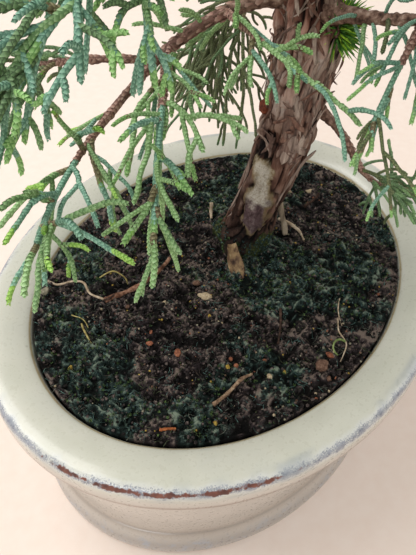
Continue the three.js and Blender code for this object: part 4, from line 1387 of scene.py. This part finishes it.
def growSide(book, root, tip, out, facing, girth, tones, draw, full, scale=1.0):
    # A side cord that hangs a little and wanders on its way
    tip = root + (tip - root) * book.habit[1]
    reach = np.linalg.norm(tip - root)
    drift = roam(draw, finer["wander"] * reach)
    tip = tip + drift - np.array([0, 0, finer["hang"] * book.habit[2] * reach])
    while not withinReach(tip) and reach > 1:
        tip, reach = mix(root, tip, 0.8), reach * 0.8
    path = bent(bowed(root, tip, out * reach * 0.08 + drift * 0.5 + np.array([0, 0, 0.06 * reach]), 10))
    growCord(book, path, girth, tones, draw)
    growTwigs(book, path, facing, tones, draw, full, scale)


def growShoot(book, start, ahead, across, length, cords, tones, draw, full):
    # A shoot with side cords in its own plane, and smaller ones above and below
    facing = np.cross(across, ahead)
    end = start + ahead * length - np.array([0, 0, finer["droop"] * length])
    swing = across * (draw() - 0.5) * finer["sway"] * 2 * length
    push = np.array([0, 0, finer["droop"] * length * 0.9]) + swing
    axis = bent(bowed(start, end, push, 15))
    growCord(book, axis, finer["shootGirth"], tones, draw, oldTo=mix(*finer["tanShare"], draw()))

    def onAxis(at):
        return pointAlong(axis, min(at / length, 0.98))

    for at, side, tipX, tipY in cords:
        chance, stretch = draw(), mix(*finer["stretch"], draw())
        if chance < finer["kept"] * full:
            root = onAxis(at)
            tip = root + (across * tipX + ahead * (tipY - at)) * stretch
            growSide(book, root, tip, across * side, facing, finer["cordGirth"], tones, draw, full)
    at, over = 2.0 + draw() * 3, 1 if draw() < 0.5 else -1
    while at < length - 2:
        opening = spreadAngle(finer["sideOpen"], 12, draw)
        reach = finer["sideLength"] * (1 - 0.5 * at / length) * (0.6 + 0.7 * draw())
        lean = (draw() - 0.5) * 1.4
        out = unit(facing * over * math.cos(lean) + across * math.sin(lean))
        tip = onAxis(at) + (ahead * math.cos(opening) + out * math.sin(opening)) * reach
        growSide(book, onAxis(at), tip, out, across, finer["twigGirth"], tones, draw, full, 0.9)
        at += finer["sideSpacing"] / full * (0.8 + 0.5 * draw())
        over = -over


def growMass(row, stems):
    name, parent, along, azimuth, rise, turn, sag, length, width, flat, opened, shoots, seed, tones = row
    draw, more, full = seeded(seed), seeded(seed + 500), fullness.get(name, 1)
    points = limbs[parent]["points"]
    if along is None:
        ahead = tangentAt(points, len(points) - 1)
        azimuth, rise = math.degrees(math.atan2(ahead[1], ahead[0])), math.degrees(math.asin(ahead[2]))
        start, root = points[-1] + ahead * growth["gap"], points[-1]
    else:
        start = root = pointAlong(points, along)
    stem = pathOf(start, azimuth, rise, turn, sag, length, stemRule["steps"])
    book, held = CordBook(), [stem]
    book.habit = habits.get(name, book.habit)
    fine = throughPoints(np.concatenate([[root], stem[1:]]), 36)
    thick = book.habit[3]
    even = evenly(fine, finer["stemGirth"] * finer["pitch"] * thick)
    share = np.linspace(0, 1, len(even))
    woody = share < finer["oldShare"]
    greenGirth = finer["stemGirth"] * 0.95
    ends = [stemRule["radii"][0] * 1.08 * thick, greenGirth * book.habit[0] * 1.05]
    girths = np.interp(share, [0, finer["oldShare"]], ends)
    stems.add(even[woody], girths[woody] * mm, np.full(woody.sum(), old))
    growCord(book, even[woody.sum() - 1:], greenGirth, tones, more)

    def addShoot(place, ahead, across, reach):
        end, cords, lines = place + ahead * reach, [], []
        if not isFree(name, place, end, shootRule["root"]):
            return
        for at, side, tipX, tipY in cordsOf(reach, draw):
            low, high = place + ahead * at, place + across * tipX + ahead * tipY
            if isFree(name, low, high, cordRule["base"] / 2):
                cords.append((at, side, tipX, tipY))
                lines.append(np.array([low, high]))
        held.append(np.array([place, end]))
        held.extend(lines)
        growShoot(book, place, ahead, across, reach, cords, tones, more, full)

    def addCord(place, ahead, direction, reach, girth):
        facing = np.cross(direction, ahead)
        growSide(book, place, place + direction * reach, direction * 0, facing, girth, tones, more, full)

    for shoot in range(shoots):
        place = (shoot + draw() / 2) / shoots
        along = mix(shootRule["first"], shootRule["last"], place)
        ahead = tangentAt(stem, int(math.floor(along * stemRule["steps"] + 0.5)))
        turned = math.radians(shoot * shootRule["goldenTurn"] + seed * shootRule["seedTurn"])
        opening = spreadAngle(opened, shootRule["openSpread"], draw)
        direction = sideways(ahead, opening, turned, flat)
        vary = shootRule["shortest"] + shootRule["vary"] * draw()
        reach = width * (1 - shootRule["taper"] * along) * vary
        across = unit(np.cross(np.cross(direction, ahead), direction))
        addShoot(pointAlong(stem, along), direction, across, reach)
    last = tangentAt(stem, stemRule["steps"])
    addShoot(stem[-1], last, unit(np.cross((0, 0, 1.0), last)), width * shootRule["taper"])
    # Small cords straight from the stem, between the shoots
    at = 3.0
    while at < length - 1:
        ahead = tangentAt(stem, int(round(at / length * stemRule["steps"])))
        direction = sideways(ahead, spreadAngle(46, 12, more), more() * 2 * math.pi, flat)
        reach = finer["stemLength"] * (0.55 + 0.7 * more())
        place = pointAlong(stem, at / length)
        if isFree(name, place, place + direction * reach, finer["cordGirth"]):
            addCord(place, ahead, direction, reach, finer["twigGirth"])
        at += finer["stemSpacing"] / full * (0.8 + 0.5 * more())
    # And some straight from the bough
    low, high, count = boughCords.get(name, (0, 0, 0))
    for share in np.linspace(low, high, count):
        ahead = tangentAt(points, int(share * (len(points) - 1)))
        direction = sideways(ahead, spreadAngle(60, 15, more), more() * 2 * math.pi, 1)
        place = pointAlong(points, share) + direction * 1.2
        reach = finer["stemLength"] * (0.6 + 0.7 * more())
        addCord(place, ahead, direction, reach, finer["cordGirth"])
    for line in held:
        take(name, line, lambda along: cordRule["base"] / 2)
    mesh = grownMesh(name + "_cords", book.host(name), twigTree, {"Scale Leaves": pairShape})
    makePiece(name + "_cords", mesh, ["foliage_" + name])
    return book.length, triangleCount(mesh)


stems = CordBook()
grown = [growMass(row, stems) for row in masses]
stemMesh = grownMesh("woodyStems", stems.host("woodyStems"), twigTree, {
    "Scale Leaves": fourShape, "Turn Per Whorl": math.pi / 2, "Core Share": 0.85, "Core Sides": 6})
makePiece("woodyStems", stemMesh, ["foliage_" + row[0] for row in masses])
for shape in (pairShape, fourShape):
    bpy.data.objects.remove(shape)
print("cords", round(sum(length for length, _ in grown)), "mm,",
      sum(count for _, count in grown), "triangles")

print("moss, crumbs and litter")

# For each piece: count per square mm, smallest and largest size in mm, lean, seed
dressing = {
    "mossLeaves": {"density": 1.5, "sizes": (0.4, 1.2), "lean": 0.6, "seed": 3},
    "soilCrumbs": {"density": 1.2, "sizes": (0.14, 0.55), "lean": 3.0, "seed": 5},
    "soilFibres": {"density": 0.85, "sizes": (0.7, 3.0), "lean": 0.45, "seed": 7},
    "soilGrit": {"density": 0.11, "sizes": (0.14, 0.42), "lean": 3.0, "seed": 9},
    "footMoss": {"density": 2.2, "sizes": (0.4, 1.2), "lean": 0.7, "seed": 4},
    "hostRings": 60, "hostColumns": 120,
}
# For each piece, its finishes: name, shades from dark to light, scale, roughness
groundFinishes = {
    "mossLeaves": [
        ("mossDark", "070b09 25352f 6b7f71", 900, 0.7), ("mossBlue", "0a1213 2d4342 7a958e", 900, 0.65),
        ("mossGreen", "141d10 3f5530 80965a", 900, 0.7), ("mossShade", "030504 0d1511 22332b", 900, 0.75)],
    "soilCrumbs": [
        ("crumbBlack", "040303 120f0d 2b2420", 1500, 0.8), ("crumbBrown", "181213 463c3a 8c7e75", 1500, 0.85),
        ("crumbDark", "070505 1e1919 4e4543", 1500, 0.7)],
    "soilFibres": [
        ("fibreGrey", "282a25 585b51 8c9083", 1500, 0.8), ("fibreTeal", "1a2826 46625c 7e9e94", 1500, 0.8),
        ("fibreBrown", "1c1615 40362f 72645a", 1500, 0.8), ("fibreDark", "120e0c 28201b 46392f", 1500, 0.8),
        ("fibreOlive", "20241a 454c36 757d5c", 1500, 0.8)],
    "soilGrit": [
        ("gritTan", "7c6a52 a8967a c9bb9f", 1500, 0.8), ("gritOrange", "4a2a1e 84503a a87154", 1500, 0.75),
        ("gritPale", "5c5748 857f6c a8a18c", 1500, 0.8), ("gritOchre", "6b5320 9a8038 bfa557", 1500, 0.8),
        ("gritBrown", "3c2a22 634a3c 846a5a", 1500, 0.85)],
}


def scatterTree(name, finishes):
    tree, given = newTree(name, [
        ("Shape", "NodeSocketObject", None), ("Density", "NodeSocketFloat", 1.0),
        ("Smallest", "NodeSocketFloat", 0.001), ("Largest", "NodeSocketFloat", 0.002),
        ("Lean", "NodeSocketFloat", 0.5), ("Seed", "NodeSocketInt", 1)])
    seed, lean, count = given["Seed"], Value(tree, given["Lean"]), len(finishes)
    spots = put(tree, "GeometryNodeDistributePointsOnFaces", {
        "Mesh": given["Geometry"], "Density": saved(tree, "cover") * given["Density"], "Seed": seed,
    }, distribute_method="RANDOM")
    low = putOut(tree, "ShaderNodeCombineXYZ", {0: lean * -1.0, 1: lean * -1.0, 2: 0.0})
    high = putOut(tree, "ShaderNodeCombineXYZ", {0: lean, 1: lean, 2: 2 * math.pi})
    turn = putOut(tree, "FunctionNodeRandomValue", {0: low, 1: high, "Seed": seed}, data_type="FLOAT_VECTOR")
    turn = putOut(tree, "FunctionNodeEulerToRotation", {"Euler": turn})
    size = stray(tree, given["Smallest"], given["Largest"], seed)
    grown = onSpots(tree, spots, given["Shape"], turn, size)
    # Neighbours share a finish more often than not
    shade = noiseAt(tree, putOut(tree, "GeometryNodeInputPosition"), 150, 2)
    chosen = (shade - 0.35) * (count / 0.3) + stray(tree, -0.9, 0.9, 21)
    chosen = maths(tree, "MINIMUM", maths(tree, "MAXIMUM", chosen, 0.0), count - 0.01)
    grown = putOut(tree, "GeometryNodeStoreNamedAttribute", {
        "Geometry": grown, "Name": "kind", "Value": maths(tree, "FLOOR", chosen),
    }, data_type="INT", domain="INSTANCE")
    grown = putOut(tree, "GeometryNodeRealizeInstances", {"Geometry": grown})
    endTree(tree, dealFinishes(tree, grown, "kind", finishes))
    return tree


def soilHost(name, coverOf):
    rings, columns = dressing["hostRings"], dressing["hostColumns"]
    reach = -pot["halfWidth"] + (pot["halfWidth"] - 0.95) * np.linspace(0.01, 1, rings)[:, None]
    x, y = ovalPlace(reach, turns(columns))
    z, moss, high = soilTop(x, y)
    away = np.hypot(x - soil["footX"], y - soil["footY"])
    cover = coverOf(moss) * smoothStep(5, 7, away) * mix(0.12, 1.4, smoothStep(-0.45, 0.5, high))
    points, faces = stack(x, y, z).reshape(-1, 3), turnedOver(gridFaces(rings, columns))
    return makeMesh(name, points, faces, [], True, {"cover": cover.reshape(-1)})


def tuftShape():
    # Five short leaves that lean out from one root
    draw, points, faces = seeded(31), [], []
    for leaf in range(5):
        turn, lean, start = leaf * 1.257 + draw(), 0.35 + 0.6 * draw(), len(points)
        long = 0.6 + 0.4 * draw()
        ahead = np.array([math.cos(turn) * math.sin(lean), math.sin(turn) * math.sin(lean), math.cos(lean)])
        side = np.array([-math.sin(turn), math.cos(turn), 0])
        points += [side * 0.16, -side * 0.16, ahead * long * 0.5 + np.cross(side, ahead) * 0.1, ahead * long]
        corners = (0, 1, 3), (1, 2, 3), (2, 0, 3), (0, 2, 1)
        faces += [tuple(start + corner for corner in face) for face in corners]
    return shapeObject("mossTuft", points, faces, False)


def lumpArrays(detail, rough, seed):
    # An uneven round lump about one unit in radius
    mesh = bpy.data.meshes.new("lump")
    tool = bmesh.new()
    bmesh.ops.create_icosphere(tool, subdivisions=detail, radius=1)
    tool.to_mesh(mesh)
    tool.free()
    points = np.array([tuple(v.co) for v in mesh.vertices])
    faces = [tuple(face.vertices) for face in mesh.polygons]
    bpy.data.meshes.remove(mesh)
    return points * (1 + rough * layeredNoise(points, 1.1, seed, 2))[:, None], faces


def fibreShape():
    share = np.linspace(0, 1, 3)
    path = stack(share - 0.5, 0.14 * np.sin(share * 5), 0.12 * np.sin(share * 3.1) + 0.02)
    points, faces = tubeArrays(path, 0.036 * (1.05 - 0.8 * share), 3)
    return shapeObject("fibreShape", points, faces)


def footHost(name):
    # The lowest part of the bark, where moss climbs it
    rows, columns = 26, 120
    points, facts = trunkSurface(turns(columns), np.linspace(0.004, 0.11, rows)[:, None], -0.1)
    faces = turnedOver(gridFaces(rows, columns))
    return makeMesh(name, points.reshape(-1, 3), faces, [], True, {"cover": facts["moss"].reshape(-1)})


def dressed(name, host, shape, finishes):
    rule = dressing[name]
    return grownMesh(name, host, scatterTree(name, finishes), {
        "Shape": shape, "Density": rule["density"] / mm**2, "Smallest": rule["sizes"][0] * mm,
        "Largest": rule["sizes"][1] * mm, "Lean": rule["lean"], "Seed": rule["seed"]})


def dressSoil():
    shapes = {
        "mossLeaves": tuftShape(), "soilCrumbs": shapeObject("crumbShape", *lumpArrays(1, 0.5, 71), False),
        "soilFibres": fibreShape(), "soilGrit": shapeObject("gritShape", *lumpArrays(1, 0.3, 73), False),
    }
    covers = {
        "mossLeaves": lambda moss: smoothStep(0.15, 0.75, moss) + 0.06,
        "soilCrumbs": lambda moss: 1.1 - 0.75 * moss,
        "soilFibres": lambda moss: 1 - 0.5 * moss, "soilGrit": lambda moss: 1 - 0.75 * moss,
    }
    finishes = {name: [simpleFinish(*row) for row in rows] for name, rows in groundFinishes.items()}
    for name, shape in shapes.items():
        mesh = dressed(name, soilHost(name, covers[name]), shape, finishes[name])
        makePiece(name, mesh)
        print(" ", name, triangleCount(mesh), "triangles")
    mesh = dressed("footMoss", footHost("footMoss"), shapes["mossLeaves"], finishes["mossLeaves"])
    makePiece("footMoss", mesh)
    for shape in shapes.values():
        bpy.data.objects.remove(shape)
    return finishes["soilGrit"]


gritKinds = dressSoil()

# Pebbles and bits: x, y, half sizes, finish (0 tan, 1 orange, 2 pale, 3 ochre, 4 brown)
pebbles = [
    (-41, 33.6, 1.45, 1.25, 1.1, 2), (-45.3, 26.9, 0.7, 0.6, 0.5, 2), (-11.4, 2.6, 1.6, 1.1, 0.8, 4),
    (-14.5, -2.7, 1.7, 1.2, 0.8, 0), (-23.2, 4.7, 0.7, 0.6, 0.5, 0), (-25.8, -31.4, 0.8, 0.7, 0.6, 0),
    (-34.3, -8.9, 0.95, 0.85, 0.8, 1), (-35.9, -0.7, 1.3, 0.6, 0.4, 1), (-29.3, -21.2, 0.9, 0.7, 0.6, 3),
    (-28.4, -23.0, 0.6, 0.6, 0.5, 1), (-27.0, -20.4, 0.6, 0.5, 0.5, 1), (-14.2, -39.9, 2.1, 1.7, 1.4, 4),
    (-9.7, -40.1, 0.95, 0.7, 0.7, 1), (-53.7, 10.4, 1.1, 0.8, 0.6, 3), (-16.0, -43.2, 0.9, 0.8, 0.7, 4),
    (-19.5, -8.0, 0.55, 0.5, 0.4, 3), (-33.0, 1.4, 0.5, 0.5, 0.4, 1), (-22.0, -27.6, 0.5, 0.5, 0.4, 1),
    (26.5, -5.2, 0.6, 0.5, 0.4, 0), (41.5, 3.5, 1.2, 0.9, 0.7, 0), (46.8, -1.5, 1.3, 0.9, 0.6, 0),
    (-44.0, -28.0, 0.7, 0.5, 0.4, 3), (-21.3, -33.4, 0.5, 0.5, 0.4, 3), (-9.5, 12.0, 0.7, 0.6, 0.5, 2),
    (-30.0, 12.5, 0.6, 0.5, 0.4, 4), (5.0, -19.0, 0.5, 0.4, 0.3, 3),
]
# Sticks, roots and straws: points on the soil (x, y, height above it), radii at both ends,
# finish (5 and more, from the list below)
sticks = [
    ("twig", [(-33, 18.2, 0.5), (-27, 16.2, 1.0), (-22, 14, 1.3), (-16, 13.2, 1.6), (-9.7, 14, 1.2)],
     0.75, 0.5, 5),
    ("twigSpur", [(-33, 18.2, 0.6), (-32.0, 17.0, 1.6), (-30.5, 16.6, 2.4)], 0.45, 0.2, 6),
    ("paleRoot", [(-38.2, 36.7, 0.8), (-36.5, 33.5, 1.1), (-33, 30, 1.3),
     (-32.4, 27, 1.0), (-33.8, 23, 0.9), (-33, 18.6, 0.6)], 0.32, 0.3, 7),
    ("straw", [(-42.7, 17.4, 0.6), (-44.6, 14, 1.0), (-46.1, 10.2, 0.5)], 0.26, 0.2, 8),
    ("strawBent", [(-28, 25, 0.5), (-24.5, 22.8, 1.6), (-23.2, 19.5, 0.9), (-23.8, 18, 0.5)], 0.22, 0.18, 8),
    ("strawFlat", [(-42, 22, 0.6), (-41.5, 18, 0.9), (-42.6, 15, 0.7)], 0.16, 0.12, 8),
    ("stick", [(-40.4, -24.7, 0.7), (-35.5, -25.5, 0.9), (-31, -26.4, 1.3), (-27.5, -27.4, 1.1)],
     0.5, 0.36, 11),
    ("sliver", [(-53.2, -18.6, 0.7), (-52.1, -19.9, 0.9), (-50.6, -21.4, 0.7)], 0.42, 0.34, 9),
    ("paleTwig", [(26.1, -1.7, 1.2), (25.9, -5.4, 1.9), (25.2, -10.4, 1.0), (22.7, -13, 0.3)], 0.5, 0.28, 7),
    ("paleTwigSpur", [(26.0, -2.2, 1.4), (29.5, -1.2, 1.2)], 0.4, 0.2, 7),
    ("whiteShoot", [(13.2, 15.6, 0.4), (14.6, 16.8, 1.6), (15.9, 17.8, 3.4)], 0.4, 0.55, 7),
    ("darkStick", [(-5.5, -22, 0.5), (-10, -25, 0.9), (-15.5, -27.5, 0.6)], 0.4, 0.25, 6),
    ("thinRoot", [(2, -36, 0.6), (-2, -38.5, 1.6), (-4.5, -42, 1.2), (-9, -43, 0.5)], 0.2, 0.14, 7),
    ("thinRootTwo", [(9, -33, 0.5), (4, -35, 1.3), (1, -38, 0.6)], 0.18, 0.12, 7),
    ("rustyStick", [(38, -4.5, 0.7), (42.5, -6.0, 2.6), (43.6, -6.4, 4.2)], 0.55, 0.4, 6),
    ("leftStraw", [(-31, 38, 0.7), (-28, 35.5, 1.4), (-26, 32, 0.7)], 0.3, 0.2, 6),
]


litterFinishes = [
    ("twigReddish", "3a241b 74503d a98670", 800, 0.8), ("twigDark", "1d1410 3a2a22 5c463a", 800, 0.85),
    ("rootPale", "83705a ab9880 cfc0aa", 800, 0.8), ("strawYellow", "6f6338 998b54 bdb07a", 800, 0.75),
    ("sliverOrange", "7a4325 a96338 c98a5c", 800, 0.75), ("sproutGreen", "3c4a26 697a45 97a56c", 900, 0.6),
    ("stickTan", "3c2a1f 866b55 bda68a", 900, 0.8, 0.0006),
]
sprout = {"place": (-6.7, -41.4, 59.5), "reach": (2.6, 2.0, 0.9), "radius": 0.34, "finish": 10}


def makeLitter():
    pile = Pile()
    for number, (x, y, long, wide, high, kind) in enumerate(pebbles):
        points, faces = lumpArrays(3, 0.6, 80 + number)
        points = points * (long, wide, high)
        cos, sin = math.cos(number * 1.7), math.sin(number * 1.7)
        x, y = x + points[:, 0] * cos - points[:, 1] * sin, y + points[:, 0] * sin + points[:, 1] * cos
        base = float(soilTop(np.array([x.mean()]), np.array([y.mean()]))[0][0])
        pile.add(stack(x, y, base + high * 0.35 + points[:, 2]), faces, kind)
    for number, (_, stops, thick, thin, kind) in enumerate(sticks):
        stops = np.array(stops)
        ground = soilTop(stops[:, 0], stops[:, 1])[0]
        raised = stack(stops[:, 0], stops[:, 1], ground + stops[:, 2] * 0.8)
        path = throughPoints(raised, 8 * (len(stops) - 1))
        path[1:-1] += 0.1 * stack(*(softNoise(path[1:-1] + shift, 2.2, 90 + number) for shift in (0, 40, 80)))
        radii = mix(thick, thin, np.linspace(0, 1, len(path)))

        def relief(angle, share, number=number, thick=thick):
            places = stack(np.cos(angle) * 2, np.sin(angle) * 2, share * 9 + number * 7)
            return 0.55 * thick * layeredNoise(places, 1.2, 91, 2)

        pile.add(*tubeArrays(path, radii, 10, relief), kind)
    # A green sprout that curls over the soil near the brown cone
    curl, (x, y, z), (long, wide, high) = np.linspace(0, 1, 14), sprout["place"], sprout["reach"]
    path = stack(x + long * np.cos(curl * 3.4), y + wide * np.sin(curl * 3.4), z + high * np.sin(curl * 3.1))
    pile.add(*tubeArrays(path, sprout["radius"] * (1 - 0.4 * curl), 8), sprout["finish"])
    finishes = gritKinds + [simpleFinish(*row) for row in litterFinishes]
    makePiece("soilLitter", pile.mesh("soilLitter", finishes))


makeLitter()

print("stub, flake and tuft")

stub = {"foot": (22.2, -6.6, 59.0), "azimuth": 118, "rise": 76, "length": 17.5, "radii": (0.8, 1.0)}
cutStub = {"root": (16.2, -2.6, 104.5), "tip": (11.4, 1.1, 105.6), "radii": (2.2, 1.9)}
flake = {"low": (-3.2, -6.3, 59.2), "high": (2.6, 0.6, 64.6), "width": 3.8, "curl": 1.2, "thickness": 0.25}
tuft = {"place": (18.4, -13.0, 126.5), "spread": (4.2, 2.6, 7.0), "away": (-0.15, -0.95, 0.25), "count": 230,
        "long": (2.2, 5.0), "seed": 17}


def makeDeadStub():
    path = pathOf(stub["foot"], stub["azimuth"], stub["rise"], 0, 0, stub["length"], 30)
    share = np.linspace(0, 1, len(path))
    path[:, 0] += 0.35 * np.sin(share * 7)
    radii = mix(*stub["radii"], share) * (1 + 0.18 * np.sin(share * 11))

    def grain(angle, along):
        return 0.22 * softNoise(stack(np.cos(angle) * 1.5, np.sin(angle) * 1.5, along * 3), 0.8, 95)

    pile = Pile()
    pile.add(*tubeArrays(path, radii, 20, grain))
    pale = simpleFinish("deadWood", "5e5144 988873 c8bba8", 500, 0.85, 0.0004, (1, 1, 0.2))
    makePiece("deadStub", pile.mesh("deadStub", [pale]), ["dead_stub"])


def makeCutStub():
    share = np.linspace(0, 1, 18)
    path = mix(np.array(cutStub["root"]), np.array(cutStub["tip"]), share[:, None])
    radii = mix(*cutStub["radii"], share) * (1 - 0.25 * smoothStep(0.9, 1, share))

    def rough(angle, along):
        return 0.3 * softNoise(stack(np.cos(angle) * 2, np.sin(angle) * 2, along * 4), 0.7, 96)

    points, faces = tubeArrays(path, radii, 26, rough)
    points[-1] = mix(path[-1], path[-3], 0.8)  # the cut face is dished
    pile = Pile()
    pile.add(points, faces)
    rusty = simpleFinish("cutStub", "2c130d 6c3625 9c5a42", 700, 0.8, 0.0005)
    makePiece("cutStub", pile.mesh("cutStub", [rusty]))


def makeFlake():
    # A dead flake of bark that leans on the trunk's foot
    low, high = np.array(flake["low"]), np.array(flake["high"])
    ahead = unit(high - low)
    across = unit(np.cross(ahead, (-0.55, -0.38, 0.73)))
    face = np.cross(across, ahead)
    u, v = np.linspace(0, 1, 22)[:, None], np.linspace(-1, 1, 14)[None, :]
    edge = 1 + 0.16 * softNoise(stack(u * 9, np.sign(v) * 5 + 0 * u, 0), 1.4, 97)
    wide = flake["width"] / 2 * edge * (0.62 + 0.5 * np.sin(math.pi * np.clip(u * 0.9 + 0.12, 0, 1)))
    lift = flake["curl"] * (v**2) * 0.7 + 0.3 * softNoise(stack(u * 6, v * 3, 0), 1.2, 98) + 0.9 * u**2
    outer = (low + ahead * (u * np.linalg.norm(high - low))[..., None] + across * (v * wide)[..., None]
             + face * lift[..., None])
    inner = outer - face * flake["thickness"]
    ring = np.concatenate([outer, inner[:, ::-1]], axis=1)
    dry = simpleFinish("deadFlake", "281b15 5b4636 876f50 a99471", 480, 0.75, 0.0006, (1, 1, 0.4))
    mesh = makeMesh("deadFlake", ring.reshape(-1, 3), flatEndedFaces(*ring.shape[:2]), [dry])
    makePiece("deadFlake", mesh)


def makeTuft():
    # A tuft of young needle leaves on the trunk
    draw, pile = seeded(tuft["seed"]), Pile()
    centre, away = np.array(tuft["place"]), unit(np.array(tuft["away"]))
    for _ in range(tuft["count"]):
        spread = np.array([draw() - 0.5, draw() - 0.5, draw() - 0.5])
        ahead = unit(away + spread * 2.3)
        root = centre + spread * tuft["spread"]
        long = mix(*tuft["long"], draw())
        path = bowed(root, root + ahead * long, (0, 0, 0.3 * (draw() - 0.3)), 4)
        pile.add(*tubeArrays(path, [0.22, 0.24, 0.16, 0.03], 4), int(draw() * 3))
    shades = {
        "needleBright": ("5f8a1e 8fba34 b9d95c", 0.55), "needleMid": ("3a6a22 5c9236 86b455", 0.55),
        "needleDark": ("26451a 3c6a2a 5d8a44", 0.6),
    }
    greens = [simpleFinish(name, codes, 900, roughness) for name, (codes, roughness) in shades.items()]
    makePiece("needleTuft", pile.mesh("needleTuft", greens))


makeDeadStub()
makeCutStub()
makeFlake()
makeTuft()
